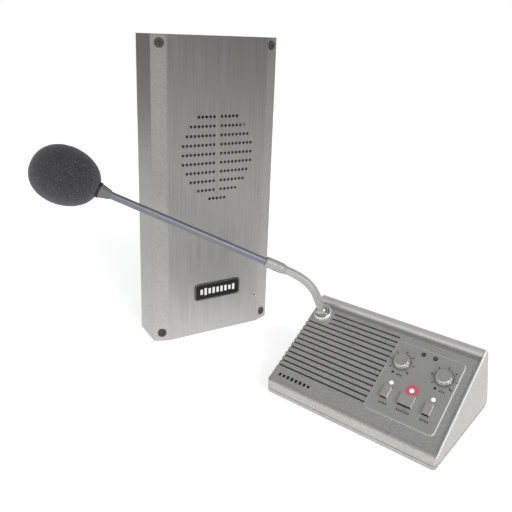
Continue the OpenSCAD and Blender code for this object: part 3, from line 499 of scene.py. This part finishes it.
overlay, tree, shader, place = grainy("satin_polyester_overlay", 0.8, 0.012, "#b4b3ac", "#c2c1ba",
                                      Metallic=0.5, Roughness=0.38)
glow(tree, shader, place, glow_mm)
plate_low, plate_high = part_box("control_plate")
plate_middle = on_plate(middle("control_plate"))
half_across = (plate_high.x - plate_low.x) / 2
half_up = max((v.co - plate_middle).dot(face_up) for v in frame["nodes"]["control_plate"].data.vertices)
plate_corner_mm = 4.0
edge_highlight_mm = 0.8
spot = mapped(tree, place, plate_middle, face_across, face_up)
flat = add(tree, "ShaderNodeVectorMath", {0: spot, 1: (1, 1, 0)}, operation="MULTIPLY").outputs[0]
folded = add(tree, "ShaderNodeVectorMath", {0: flat}, operation="ABSOLUTE").outputs[0]
core = (half_across - plate_corner_mm * MM, half_up - plate_corner_mm * MM, 0)
past = add(tree, "ShaderNodeVectorMath", {0: folded, 1: core}, operation="SUBTRACT").outputs[0]
past = add(tree, "ShaderNodeVectorMath", {0: past, 1: (0, 0, 0)}, operation="MAXIMUM").outputs[0]
reach = add(tree, "ShaderNodeVectorMath", {0: past}, operation="LENGTH").outputs["Value"]
# Painted highlight: a pale band is painted along the plate's edge, strongest at the right.
band = add(tree, "ShaderNodeMapRange", {"Value": reach, "From Min": (plate_corner_mm - edge_highlight_mm) * MM,
                                        "From Max": (plate_corner_mm - edge_highlight_mm / 2) * MM})
sideways = add(tree, "ShaderNodeSeparateXYZ", {"Vector": spot}).outputs["X"]
shine = add(tree, "ShaderNodeMapRange", {"Value": sideways, "From Min": half_across - 2 * MM,
                                         "From Max": half_across - 1 * MM, "To Min": 0.35})
lit = add(tree, "ShaderNodeMath", {0: band.outputs["Result"], 1: shine.outputs["Result"]},
          operation="MULTIPLY").outputs[0]
paint_highlight(tree, shader, lit)
keep(rounded("control_plate", 0.3, overlay, segments=3), "console", "control_plate", "control_plate")

# Screen-printing ink: a thin matt film, slightly worn through where fingers rub it
ink, *_ = grainy("printed_ink", 0.5, 0.01, "#2b2b29", "#444441", Roughness=0.7)
pale_ink, *_ = grainy("pale_printed_ink", 0.5, 0.01, "#55544f", "#6b6a64", Roughness=0.7)


def lathe(name, place, outline_mm, *materials, segments=64, flutes=0, flute_mm=0.0, fluted_mm=(0, 0)):
    """A turned piece. The outline runs from the axis back to the axis: (radius, height, material).
    Flutes, where there are any, are cut round its side between two heights."""
    work = bmesh.new()
    rings = []
    for radius, height, _ in outline_mm:
        if radius == 0:
            rings.append([work.verts.new((0, 0, height * MM))])
            continue
        cut = flute_mm / 2 if fluted_mm[0] <= height <= fluted_mm[1] else 0
        ring = []
        for i in range(segments):
            turn = math.tau * i / segments
            reach = (radius - cut * (1 - math.cos(flutes * turn))) * MM
            ring.append(work.verts.new((reach * math.cos(turn), reach * math.sin(turn), height * MM)))
        rings.append(ring)
    for (low, high), (*_, finish) in zip(zip(rings, rings[1:]), outline_mm[1:]):
        for i in range(segments):
            corners = [low[i % len(low)], low[(i + 1) % len(low)],
                       high[(i + 1) % len(high)], high[i % len(high)]]
            face = work.faces.new(list(dict.fromkeys(corners)))
            face.material_index = finish
    bmesh.ops.recalc_face_normals(work, faces=work.faces)
    mesh = bpy.data.meshes.new(name)
    work.to_mesh(mesh)
    work.free()
    mesh.transform(place)
    piece = new_piece(name, mesh, *materials)
    piece.data.shade_smooth()
    piece.data.set_sharp_from_angle(angle=math.radians(32))
    return piece


def beside(point, across_mm, up_mm, out_mm=0.0):
    """A point of the sloped face, stepped across, up and out from another."""
    return point + (face_across * across_mm + face_up * up_mm + face_out * out_mm) * MM


print_mm = 0.08
knob_places = {side: Vector(joints[side + "_knob_turn"]["pos_m"]) for side in ("left", "right")}
for number, (side, centre) in enumerate(knob_places.items()):
    on_face = seat(beside(centre, 0, 0, print_mm / 2), face_out, face_across)
    ticks = grow(side + "_knob_ticks", ring_of_marks, on_face, ink, Count=7, Radius=9.7 * MM,
                 First=math.radians(-45), Step=math.radians(45), Length=1.9 * MM, Width=0.75 * MM,
                 Height=print_mm * MM)
    keep(ticks, "console", "label_black")
    for name, across_mm, up_mm, dot_mm in (("big_dot", -3.0, -10.7, 1.15), ("small_dot", 8.2, -7.7, 0.7)):
        disc = [(0, 0, 0), (dot_mm, 0, 0), (dot_mm, print_mm, 0), (0, print_mm, 0)]
        on_face = seat(beside(centre, across_mm, up_mm), face_out, face_across)
        dot = lathe(f"{side}_{name}", on_face, disc, ink, segments=24)
        keep(dot, "console", "label_black")
    on_face = seat(beside(centre, 2.7, -11.4, print_mm / 2), face_out, face_across)
    bars = grow(side + "_knob_bars", row_of_bars, on_face, pale_ink, Count=3,
                Pitch=1.6 * MM, Width=1.0 * MM, Shortest=1.5 * MM, Tallest=2.1 * MM,
                Height=print_mm * MM, Seed=number)
    keep(bars, "console", "label_black")

button_bars = (("left_button", 1.2, 4), ("centre_button", 0.6, 6), ("right_button", 0.7, 4))
for number, (node, across_mm, count) in enumerate(button_bars):
    foot = beside(on_plate(middle(node)), across_mm, -9.6, print_mm / 2)
    bars = grow(node + "_bars", row_of_bars, seat(foot, face_out, face_across), pale_ink,
                Count=count, Pitch=1.85 * MM, Width=1.15 * MM, Shortest=1.6 * MM, Tallest=2.2 * MM,
                Height=print_mm * MM, Seed=number + 2)
    keep(bars, "console", "label_black")

# The bars at the console's front left, printed in black straight on the lacquer
black_ink, *_ = grainy("black_printed_ink", 0.5, 0.01, "#161615", "#262624", Roughness=0.6)
front_bars_place = beside(knob_places["left"], -73.5, -51.2, print_mm / 2 - plate_t_mm)
front_bars = grow("console_bars", row_of_bars, seat(front_bars_place, face_out, face_across), black_ink,
                  Count=8, Pitch=4.1 * MM, Width=2.3 * MM, Shortest=2.0 * MM, Tallest=3.3 * MM,
                  Height=print_mm * MM, Seed=11)
keep(front_bars, "console", "label_black")


# ------------------------------------------------------------------ knobs
# Two round knobs, moulded in ABS with a fluted side and sprayed bright silver. The top is a satin
# grey disc with a small bright pip in its centre, and the skirt is a darker grey, painted shade at
# the knob's foot. Each is pushed on a steel shaft.

# Silver lacquer over ABS, pale and glossy. The satin grey of the top matches the overlay's, and the
# skirt's darker grey is painted shade at the knob's foot.
bright_silver, *_ = grainy("bright_silver_lacquer", 3.0, 0.003, "#d4d3cf", "#e8e7e4",
                           Metallic=0.85, Roughness=0.2)
satin_top, *_ = grainy("satin_sprayed_ABS", 0.7, 0.015, "#b4b3ac", "#c2c1ba", Metallic=0.5, Roughness=0.34)
# The skirt's darker grey is painted shade at the knob's foot.
skirt_painted_shade, *_ = grainy("knob_skirt_painted_shade", 0.7, 0.015, "#6e6e6a", "#7c7c77", Metallic=0.3, Roughness=0.35)
for side in knob_places:
    dress(nickel, side + "_shaft", side + "_potentiometer")
dress(nickel, "potentiometer_nuts")

knob_r_mm = 6.0
skirt_r_mm = 7.6
knob_h_mm = 4.2
flutes_from_mm = 1.5
flutes_to_mm = knob_h_mm - 0.1
for side, centre in knob_places.items():
    outline = [(0, 0.5, 0), (skirt_r_mm - 0.2, 0.5, 2), (skirt_r_mm, 0.7, 2), (skirt_r_mm, 1.0, 2),
               (skirt_r_mm - 0.3, 1.3, 2), (knob_r_mm + 0.7, 1.4, 2), (knob_r_mm + 0.5, 1.6, 0),
               (knob_r_mm + 0.2, knob_h_mm - 0.6, 0), (knob_r_mm - 0.1, knob_h_mm - 0.2, 0),
               (knob_r_mm - 0.5, knob_h_mm, 0), (knob_r_mm - 0.9, knob_h_mm - 0.02, 1),
               (0.75, knob_h_mm - 0.1, 1), (0.6, knob_h_mm + 0.05, 0), (0.3, knob_h_mm + 0.18, 0),
               (0, knob_h_mm + 0.2, 0)]
    knob = lathe(side + "_knob_turned", seat(centre, face_out, face_across), outline,
                 bright_silver, satin_top, skirt_painted_shade, segments=144, flutes=18, flute_mm=0.3,
                 fluted_mm=(flutes_from_mm, flutes_to_mm))
    keep(knob, side + "_knob", "knobs", side + "_knob")

# ------------------------------------------------------------------ push buttons
# Three keycaps, moulded in ABS, with a satin grey top, over small switches on the control board. The
# right side of each is painted pale as a painted highlight, the side towards the user dark as painted shade.

# ABS in a satin grey spray on top, painted pale on the right side as a painted highlight and near black in front
# as painted shade
keycap, tree, shader, place = grainy("satin_grey_ABS", 0.8, 0.008, "#b8b7b0", "#c6c5be",
                                     Metallic=0.45, Roughness=0.34)
key_side_painted_highlight, *_ = grainy("keycap_side_painted_highlight", 3.0, 0.003, "#e4e3e0", "#f4f3f1", Metallic=0.2, Roughness=0.25)
key_front_painted_shade, *_ = grainy("keycap_front_painted_shade", 0.8, 0.01, "#2a2a29", "#3a3a38", Roughness=0.5)
glow(tree, shader, place, glow_mm + 1.5)
for node, *_ in button_bars:
    button = rounded(node, 0.4, keycap, key_side_painted_highlight, key_front_painted_shade, segments=3)
    # Faces turned to the right take the painted highlight, faces turned towards the user the painted shade.
    for face in button.data.polygons:
        if face.normal.dot(face_out) > 0.9:
            continue
        if face.normal.dot(face_up) < -0.75:
            face.material_index = 2
        elif face.normal.dot(face_across) > 0.4:
            face.material_index = 1
    keep(button, node, "keys", node)

# Black nylon, injection moulded: matt, with a fine even grain
switch_body, *_ = grainy("moulded_black_nylon", 0.8, 0.02, "#121213", "#202021", Roughness=0.55)
dress(switch_body, "button_switches")

# ------------------------------------------------------------------ lights
# Round lenses that stand on the control board and come up through the plate: two milky white
# ones, a lit red one over the centre button, and two dark bezels above with a grey centre.

# Polycarbonate with a white filler, lit from behind: even, bright and a little glossy
milky, *_ = grainy("milky_polycarbonate", 1.2, 0.005, "#f2f2ee", "#ffffff", Roughness=0.25,
                   Emission_Color=hex_rgb("#ffffff"), Emission_Strength=0.35)
# Clear red polycarbonate over a lamp: burnt out to white in the middle, pink at its edge
red_r_mm = 1.9
red_lens, tree, shader, place = start_material("lit_red_polycarbonate", Roughness=0.2,
                                               Emission_Strength=1.0)
away = add(tree, "ShaderNodeVectorMath", {0: place, 1: red_centre}, operation="DISTANCE").outputs["Value"]
span = add(tree, "ShaderNodeMath", {0: away, 1: 1 / (red_r_mm * MM)}, operation="MULTIPLY").outputs[0]
hot = add(tree, "ShaderNodeValToRGB", {"Fac": span}, {0.0: "#ffffff", 0.75: "#ffffff", 1.0: "#e0909c"})
tree.links.new(hot.outputs["Color"], shader.inputs["Emission Color"])
tree.links.new(hot.outputs["Color"], shader.inputs["Base Color"])
keep(rounded("side_lights", 0.2, milky), "console", "lamp_white", "side_lights")
keep(rounded("centre_light", 0.2, red_lens), "console", "lamp_red", "centre_light")
# Smoked polycarbonate bezels, nearly black, round a frosted lens that is not lit
smoked, *_ = grainy("smoked_polycarbonate", 0.9, 0.005, "#141414", "#262625", Roughness=0.3)
grey_lens, *_ = grainy("frosted_grey_lens", 0.9, 0.005, "#7d7d79", "#8d8d88", Roughness=0.4)
bezel_r_mm = 1.7
lens_r_mm = 0.75
low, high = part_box("upper_lights")
row = on_plate(middle("upper_lights"))
for number, across in enumerate((low.x + bezel_r_mm * MM, high.x - bezel_r_mm * MM)):
    foot = Vector((across, row.y, row.z))
    outline = [(0, -1.0, 0), (bezel_r_mm, -1.0, 0), (bezel_r_mm, 0.25, 0), (bezel_r_mm - 0.2, 0.4, 0),
               (lens_r_mm + 0.1, 0.4, 0), (lens_r_mm, 0.2, 0), (lens_r_mm, 0.2, 1), (0.4, 0.34, 1),
               (0, 0.38, 1)]
    bezel = lathe(f"upper_light_{number + 1}", seat(foot, face_out, face_across), outline, smoked,
                  grey_lens, segments=32)
    keep(bezel, "console", "lamp_dark", *(["upper_lights"] if number == 0 else []))

# ------------------------------------------------------------------ circuit boards
# Glass-epoxy laminate under green solder mask, for the controls and for the amplifier: glossy, with
# the weave only just felt. The boards stand on posts and are held by small nickel-plated screws.
laminate, *_ = grainy("green_solder_mask", 1.6, 0.01, "#0f4a26", "#1a6236", Roughness=0.35)
dress(laminate, "control_board", "amplifier_board")
dress(nickel, "board_screws")

# ------------------------------------------------------------------ rear sockets
# Two round panel sockets, moulded in black nylon, are pushed into the rear wall. The power socket
# has a turned pin in its centre.
for node in ("power_socket", "speaker_socket"):
    keep(rounded(node, 0.3, switch_body), "console", "black_plastic", node)
rear_out = Vector(next(m for m in frame["record"]["mounts"] if m["name"] == "power_socket_bore")["axis"])
pin_r_mm = 0.95
pin_foot_mm = -5.5
pin_tip_mm = 4.0
pin_outline = [(0, pin_foot_mm, 0), (pin_r_mm, pin_foot_mm, 0), (pin_r_mm, pin_tip_mm - 0.6, 0),
               (pin_r_mm - 0.35, pin_tip_mm - 0.1, 0), (0, pin_tip_mm, 0)]
pin = lathe("power_socket_pin", seat(middle("power_socket"), rear_out, face_across), pin_outline, nickel,
            segments=24)
keep(pin, "console", "bright_steel")

# ------------------------------------------------------------------ microphone ring and swivel
# A bright turned ring clamps through the sloped face with a ring nut. A satin dome turns in it and
# carries the neck.

# Turned steel: the ring in bright chrome, nearly white, and the dome in satin plating, a shade darker
chrome, *_ = grainy("bright_chrome", 4.0, 0.002, "#ececea", "#fafaf8", Metallic=0.6, Roughness=0.2)
satin_steel, *_ = grainy("satin_plated_steel", 1.5, 0.006, "#a8a8a4", "#babab6", Metallic=0.9,
                         Roughness=0.2)
keep(rounded("mic_ring", 0.3, chrome, segments=3), "console", "bright_steel", "mic_ring")
dress(nickel, "mic_nut")
keep(rounded("mic_dome", 0.2, satin_steel), "mic_swivel_base", "bright_steel", "mic_dome")

# ------------------------------------------------------------------ flexible neck
# A gooseneck of close-wound steel strip in satin chrome. Its turns are about a millimetre wide,
# so it reads as a smooth tube with very fine rings. One stretch spans each centre of bend.
ribbed_tube, given = start_tree("ribbed_tube", Radius="Float", Rib="Float", Depth="Float", Finest="Float",
                                Sides="Int")
tree = ribbed_tube
path = add(tree, "GeometryNodeMeshToCurve", {"Mesh": given["Geometry"]}).outputs["Curve"]
path = add(tree, "GeometryNodeResampleCurve", {"Curve": path, "Length": given["Finest"]}, mode="LENGTH")
reached = add(tree, "GeometryNodeSplineParameter").outputs["Length"]
turns = add(tree, "ShaderNodeMath", {0: reached, 1: given["Rib"]}, operation="DIVIDE").outputs[0]
phase = add(tree, "ShaderNodeMath", {0: turns, 1: math.tau}, operation="MULTIPLY").outputs[0]
wave = add(tree, "ShaderNodeMath", {0: phase}, operation="COSINE").outputs[0]
sunk = add(tree, "ShaderNodeMath", {0: wave, 1: 1.0}, operation="ADD").outputs[0]
sunk = add(tree, "ShaderNodeMath", {0: sunk, 1: given["Depth"]}, operation="MULTIPLY").outputs[0]
girth = add(tree, "ShaderNodeMath", {0: sunk, 1: -0.5, 2: given["Radius"]},
            operation="MULTIPLY_ADD").outputs[0]
hoop = add(tree, "GeometryNodeCurvePrimitiveCircle", {"Resolution": given["Sides"], "Radius": 1.0},
           mode="RADIUS").outputs["Curve"]
tube = add(tree, "GeometryNodeCurveToMesh", {"Curve": path.outputs["Curve"], "Profile Curve": hoop,
                                             "Scale": girth, "Fill Caps": True})
end_tree(tree, given, tube.outputs["Mesh"])

# Satin chrome over wound steel strip: pale along each turn, grey in the furrow between two
wound_strip, *_ = grainy("satin_chromed_steel_strip", 0.9, 0.02, "#b4b4af", "#c8c8c3",
                         Metallic=0.45, Roughness=0.42)

neck_r_mm = 3.7
rib_mm = 1.07
neck_sizes = {"Radius": neck_r_mm * MM, "Rib": rib_mm * MM, "Depth": 0.25 * MM, "Finest": rib_mm / 6 * MM,
              "Sides": 40}
bends = [joints[name] for name in sorted(joints) if name.startswith("neck_bend")]
bend_places = [Vector(joint["pos_m"]) for joint in bends]
neck_axis = Vector(bends[0]["axis"])
pitch = (bend_places[1] - bend_places[0]).length
directions = [(b - a).normalized() for a, b in zip(bend_places, bend_places[1:])]
rest_bend = Matrix.Rotation(directions[0].angle(directions[1]), 3, neck_axis)
if (rest_bend @ directions[0] - directions[1]).length > 1e-3:
    rest_bend.transpose()
directions.insert(0, rest_bend.transposed() @ directions[0])
directions.append(rest_bend @ directions[-1])
bend_places.append(bend_places[-1] + directions[-1] * pitch)
last_neck = f"neck_{len(bends)}"


def neck_stretch(name, line):
    """A stretch of the wound tube along a line of points."""
    mesh = bpy.data.meshes.new("neck_path")
    mesh.from_pydata(line, [(i, i + 1) for i in range(len(line) - 1)], [])
    stretch = grow(name, ribbed_tube, Matrix.Identity(4), wound_strip, mesh, **neck_sizes)
    stretch.data.shade_smooth()
    return stretch


foot_points = [v.co for v in frame["nodes"]["neck_foot"].data.vertices]
foot_reach = max((bend_places[0] - point).dot(directions[0]) for point in foot_points)
foot_start = bend_places[0] - directions[0] * (foot_reach - 0.5 * MM)
foot_end = bend_places[0] - directions[0] * pitch / 2
keep(neck_stretch("neck_foot_wound", [foot_start, foot_end]), "mic_swivel_base", "neck_steel", "neck_foot")
for k, knee in enumerate(bend_places[:-1]):
    before, after = directions[k], directions[k + 1]
    start = knee - before * pitch / 2
    end = knee + after * pitch / 2
    line = [start.lerp(knee, i / 6).lerp(knee.lerp(end, i / 6), i / 6) for i in range(7)]
    stretch = neck_stretch(f"neck_stretch_{k + 1}", line)
    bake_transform(stretch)
    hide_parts(f"neck_link_{k + 1}")
tail_start = bend_places[-2] + directions[-1] * pitch / 2
keep(neck_stretch("neck_tail", [tail_start, bend_places[-1]]), last_neck, "neck_steel")

# The end sleeve is drawn steel in the same chrome, smooth, with a broad soft shine
smooth_chrome, *_ = grainy("satin_chromed_steel", 2.0, 0.004, "#a2a29e", "#b4b4b0",
                          Metallic=0.35, Roughness=0.5)
keep(rounded("neck_ferrule", 0.4, smooth_chrome, segments=3), last_neck, "neck_steel", "neck_ferrule")

# ------------------------------------------------------------------ boom rod and collar
# A drawn aluminium tube, anodised blue-grey, that carries the microphone's lead inside. A moulded
# collar covers its end and holds the foam on.

# Aluminium, anodised in blue-grey: even, with a narrow soft shine along the tube
anodised, *_ = grainy("blue_grey_anodised_tube", 0.8, 0.006, "#6e707b", "#84868e",
                      Metallic=0.55, Roughness=0.4)
keep(rounded("boom_rod", 0.3, anodised), last_neck, "rod_tube", "boom_rod")
# Grey nylon, injection moulded: matt, with a fine even grain
collar_nylon, *_ = grainy("moulded_grey_nylon", 0.8, 0.02, "#63635f", "#777772", Roughness=0.6)
keep(rounded("foam_collar", 0.4, collar_nylon, segments=3), last_neck, "black_plastic", "foam_collar")
dress(switch_body, "capsule_housing")
dress(nickel, "mic_capsule")

# ------------------------------------------------------------------ foam windscreen
# Open-cell polyurethane foam, moulded as a blunt egg and pulled over the microphone's housing. Its
# skin is fine cells with paler walls, a few larger dark pores, and a slightly fuzzy edge.
foam_root = bend_places[-1]
boom = directions[-1]
foam_points = [v.co - foam_root for v in frame["nodes"]["foam_windscreen"].data.vertices]
foam_start_mm = min(p.dot(boom) for p in foam_points) / MM
foam_l_mm = max(p.dot(boom) for p in foam_points) / MM - foam_start_mm
foam_r_mm = max((p - boom * p.dot(boom)).length for p in foam_points) / MM
bore_r_mm = 6.55
bore_l_mm = 33.6
cell_mm = 1.3
cell_depth_mm = 0.3
pore_mm = 4.6
pore_depth_mm = 0.8
foam_rows = 260
foam_sides = 180

rows = [(0, bore_l_mm), (bore_r_mm, bore_l_mm), (bore_r_mm, 1.7), (bore_r_mm + 0.4, 1.3)]
first_turn = math.asin(((bore_r_mm + 0.9) / foam_r_mm) ** (1 / 0.9))
for i in range(foam_rows + 1):
    turn = first_turn + (math.pi - first_turn) * i / foam_rows
    along = (1 - math.cos(turn)) / 2
    rows.append((foam_r_mm * max(math.sin(turn), 0) ** 0.9 * (0.955 + 0.09 * along), foam_l_mm * along))
skin_row = len(rows) - foam_rows - 1
rows[-1] = (0, foam_l_mm)
place_foam = seat(foam_root + boom * foam_start_mm * MM, boom, neck_axis)
foam_mesh = bmesh.new()
rings = []
for number, (radius, along) in enumerate(rows):
    ring = []
    for j in range(1 if radius == 0 else foam_sides):
        turn = math.tau * j / foam_sides
        spot = Vector((radius * math.cos(turn), radius * math.sin(turn), along))
        if number >= skin_row:
            cells = 0.5 + 0.5 * noise.noise(spot / cell_mm) + 0.3 * noise.noise(spot / (0.5 * cell_mm))
            pore = max(0.0, 1 - noise.voronoi(spot / pore_mm)[0][0] / 0.2)
            sunk = cell_depth_mm * max(cells, 0) + pore_depth_mm * pore
            inward = Vector((-math.cos(turn), -math.sin(turn), 0)) * radius / foam_r_mm
            inward.z = (0.5 - along / foam_l_mm) * 2 * (1 - radius / foam_r_mm)
            spot += inward * sunk
        ring.append(foam_mesh.verts.new(place_foam @ (spot * MM)))
    rings.append(ring)
for low_ring, high_ring in zip(rings, rings[1:]):
    for j in range(foam_sides):
        corners = [low_ring[j % len(low_ring)], low_ring[(j + 1) % foam_sides % len(low_ring)],
                   high_ring[(j + 1) % foam_sides % len(high_ring)], high_ring[j % len(high_ring)]]
        foam_mesh.faces.new(list(dict.fromkeys(corners)))
bmesh.ops.recalc_face_normals(foam_mesh, faces=foam_mesh.faces)
mesh = bpy.data.meshes.new("foam_egg")
foam_mesh.to_mesh(mesh)
foam_mesh.free()
mesh.shade_smooth()

# Polyurethane foam: matt charcoal, its cell walls catch the light as pale specks
charcoal_foam, tree, shader, place = start_material("charcoal_polyurethane_foam", Roughness=0.95,
                                                    Sheen_Weight=0.25, Sheen_Roughness=0.5)
walls = add(tree, "ShaderNodeTexNoise", {"Vector": place, "Scale": 1 / (0.9 * cell_mm * MM), "Detail": 3,
                                         "Roughness": 0.7})
tone = add(tree, "ShaderNodeValToRGB", {"Fac": walls.outputs["Fac"]},
           {0.3: "#222224", 0.5: "#343437", 0.62: "#444447", 0.72: "#808083"})
relief = add(tree, "ShaderNodeBump", {"Height": walls.outputs["Fac"], "Distance": 0.35 * MM})
tree.links.new(tone.outputs["Color"], shader.inputs["Base Color"])
tree.links.new(relief.outputs["Normal"], shader.inputs["Normal"])
foam = new_piece("foam_egg", mesh, charcoal_foam)
keep(foam, last_neck, "foam", "foam_windscreen")

# ------------------------------------------------------------------ wall unit's cover
# Bent from 2 mm aluminium sheet: a flat face with rows of punched holes, brushed from top to
# bottom, between two strips that fall back to the sides and are blasted like the sides.
mounts = {mount["name"]: mount for mount in frame["record"]["mounts"]}
wall_back = Vector(mounts["wall_fixing_holes"]["axis"])
wall_across = wall_back.cross(Vector((0, 0, 1)))
wall_foot = Vector(mounts["wall_fixing_holes"]["pos_m"])
wall_foot.z = 0
wall_high_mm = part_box("wall_cover")[1].z / MM
cover_points = [v.co - wall_foot for v in frame["nodes"]["wall_cover"].data.vertices]
wall_deep_mm = -min(point.dot(wall_back) for point in cover_points) / MM
stroke_w_mm = 0.9
stroke_l_mm = 60.0
blast_mm = 1.3

# Clear-anodised aluminium, brushed on the face and blasted beside it. Brush strokes are drawn three
# times wider than real, and the blasted pits four times, so that they show. The sheet's colour is
# painted darker towards its top and paler towards its foot, a painted reflection of the darker room
# above and the white table below.
wall_sheet, tree, shader, place = start_material("brushed_anodised_aluminium", Metallic=0.75,
                                                 Roughness=0.42)
on_wall = add(tree, "ShaderNodeMapping", {
    "Vector": place, "Rotation": (0, 0, -math.atan2(wall_across.y, wall_across.x)),
    "Location": -(Matrix((wall_across, wall_back, (0, 0, 1))) @ wall_foot)}).outputs["Vector"]
fine = 1 / (stroke_w_mm * MM)
stretched = add(tree, "ShaderNodeVectorMath", {0: on_wall, 1: (fine, fine, 1 / (stroke_l_mm * MM))},
                operation="MULTIPLY").outputs[0]
strokes = add(tree, "ShaderNodeTexNoise", {"Vector": stretched, "Scale": 1, "Detail": 3}).outputs["Fac"]
pits = add(tree, "ShaderNodeTexNoise", {"Vector": place, "Scale": 1 / (blast_mm * MM), "Detail": 2})
pits = pits.outputs["Fac"]
parts = add(tree, "ShaderNodeSeparateXYZ", {"Vector": on_wall}).outputs
strip_fall_mm = 0.12
brushed_part = add(tree, "ShaderNodeMath", {0: parts["Y"], 1: -(wall_deep_mm - strip_fall_mm) * MM},
                   operation="LESS_THAN").outputs[0]
grain = add(tree, "ShaderNodeMix", {"Factor_Float": brushed_part, "A_Float": pits, "B_Float": strokes})
grain = grain.outputs[0]
# Painted reflection: the colour ramps from pale at the foot to dark at the top.
high = add(tree, "ShaderNodeMath", {0: parts["Z"], 1: 1 / (wall_high_mm * MM)},
           operation="MULTIPLY").outputs[0]
tone = add(tree, "ShaderNodeValToRGB", {"Fac": high},
           {0.0: "#bcbbb7", 0.13: "#b0afab", 0.3: "#a4a39f", 0.6: "#9c9b97", 1.0: "#8c8a86"})
tone = tone.outputs["Color"]
shade = add(tree, "ShaderNodeMapRange", {"Value": grain, "From Min": 0.3, "From Max": 0.7,
                                         "To Min": 0.86, "To Max": 1.12}).outputs["Result"]
tone = add(tree, "ShaderNodeVectorMath", {0: tone, "Scale": shade}, operation="SCALE").outputs[0]
relief = add(tree, "ShaderNodeBump", {"Height": grain, "Distance": 0.012 * MM})
tree.links.new(tone, shader.inputs["Base Color"])
tree.links.new(relief.outputs["Normal"], shader.inputs["Normal"])
keep(rounded("wall_cover", 0.3, wall_sheet), "wall_unit", "brushed", "wall_cover")
keep(rounded("wall_screws", 0.5, black_oxide, segments=3), "wall_unit", "black_steel", "wall_screws")

# ------------------------------------------------------------------ wall unit's back and inside
# A folded steel back plate carries four turned aluminium posts for the corner screws, a green
# terminal block for the cable, and the rubber grommet that the cable comes in by.

# Grey powder coat: matt, with a slight orange peel
powder, *_ = grainy("grey_powder_coat", 0.9, 0.05, "#56565a", "#646467", Metallic=0.1, Roughness=0.6)
keep(rounded("wall_back_plate", 0.25, powder), "wall_unit", "back_sheet", "wall_back_plate")
# Turned aluminium, bare and bright, and green nylon, moulded and matt
turned_aluminium, *_ = grainy("turned_aluminium", 1.5, 0.005, "#b4b4b2", "#c9c9c6",
                              Metallic=1.0, Roughness=0.3)
dress(turned_aluminium, "cover_posts")
green_nylon, *_ = grainy("green_moulded_nylon", 0.9, 0.02, "#1f6b3c", "#2c8049", Roughness=0.5)
dress(green_nylon, "terminal_block")
keep(rounded("cable_grommet", 0.3, foot_rubber), "wall_unit", "black_rubber", "cable_grommet")

# ------------------------------------------------------------------ wall unit's microphone
# A small nickel-plated bushing is pressed through the face, with the microphone capsule behind it.
# The capsule's can is drawn steel, nickel-plated as well.
keep(rounded("wall_mic_bushing", 0.15, nickel), "wall_unit", "bright_steel", "wall_mic_bushing")
dress(nickel, "wall_mic_capsule")

# ------------------------------------------------------------------ name plate
# A black anodised aluminium label with round corners, glued on the face. A thin bare line runs
# round its edge, and a row of plain white bars of several heights is printed along its middle.

# Black anodised aluminium is dense and satin. Where a diamond tool has cut it bare it is pale and
# bright. The bars are white screen-printing ink, matt and even.
black_anodised, *_ = grainy("black_anodised_aluminium", 0.8, 0.01, "#0d0d0d", "#1c1c1c",
                            Metallic=0.4, Roughness=0.4)
white_print, *_ = grainy("white_screen_print", 0.6, 0.01, "#e6e6e3", "#f6f6f4", Roughness=0.6)
bare_edge, *_ = grainy("bare_diamond_cut_aluminium", 0.8, 0.01, "#8f8f8c", "#a8a8a5",
                       Metallic=0.9, Roughness=0.3)
keep(rounded("name_plate", 0.2, black_anodised), "wall_unit", "label_black", "name_plate")

label_points = [v.co - wall_foot for v in frame["nodes"]["name_plate"].data.vertices]
label_left, label_right = (f(p.dot(wall_across) for p in label_points) for f in (min, max))
label_foot, label_top = (f(p.z for p in label_points) for f in (min, max))
label_front = min(p.dot(wall_back) for p in label_points)
label_centre = (wall_foot + wall_across * (label_left + label_right) / 2 + wall_back * label_front
                + Vector((0, 0, (label_foot + label_top) / 2)))
on_label = seat(label_centre, -wall_back, wall_across)
edge_inset_mm = 0.9
edge_corner_mm = 2.6
edge_line_mm = 0.28
half_w = (label_right - label_left) / 2 / MM - edge_inset_mm - edge_corner_mm
half_h = (label_top - label_foot) / 2 / MM - edge_inset_mm - edge_corner_mm
corner_steps = 6
loop = [Vector((sx * half_w + edge_corner_mm * math.cos(turn),
                sy * half_h + edge_corner_mm * math.sin(turn), 0)) * MM
        for quarter, (sx, sy) in enumerate(((1, 1), (-1, 1), (-1, -1), (1, -1)))
        for turn in (math.radians(90) * (quarter + i / corner_steps) for i in range(corner_steps + 1))]
edge_mesh = bpy.data.meshes.new("edge_path")
edge_mesh.from_pydata(loop, [(i, (i + 1) % len(loop)) for i in range(len(loop))], [])
edge_line = grow("name_plate_edge", ribbed_tube, on_label, bare_edge, edge_mesh, Radius=edge_line_mm * MM,
                 Rib=1.0 * MM, Depth=0.0, Finest=0.8 * MM, Sides=10)
edge_line.data.shade_smooth()
keep(edge_line, "wall_unit", "brushed")
label_bars = grow("name_plate_bars", row_of_bars, on_label, white_print, Count=9,
                  Pitch=4.4 * MM, Width=2.6 * MM, Shortest=3.4 * MM, Tallest=7.4 * MM,
                  Height=0.16 * MM, Seed=5)
keep(label_bars, "wall_unit", "label_black")
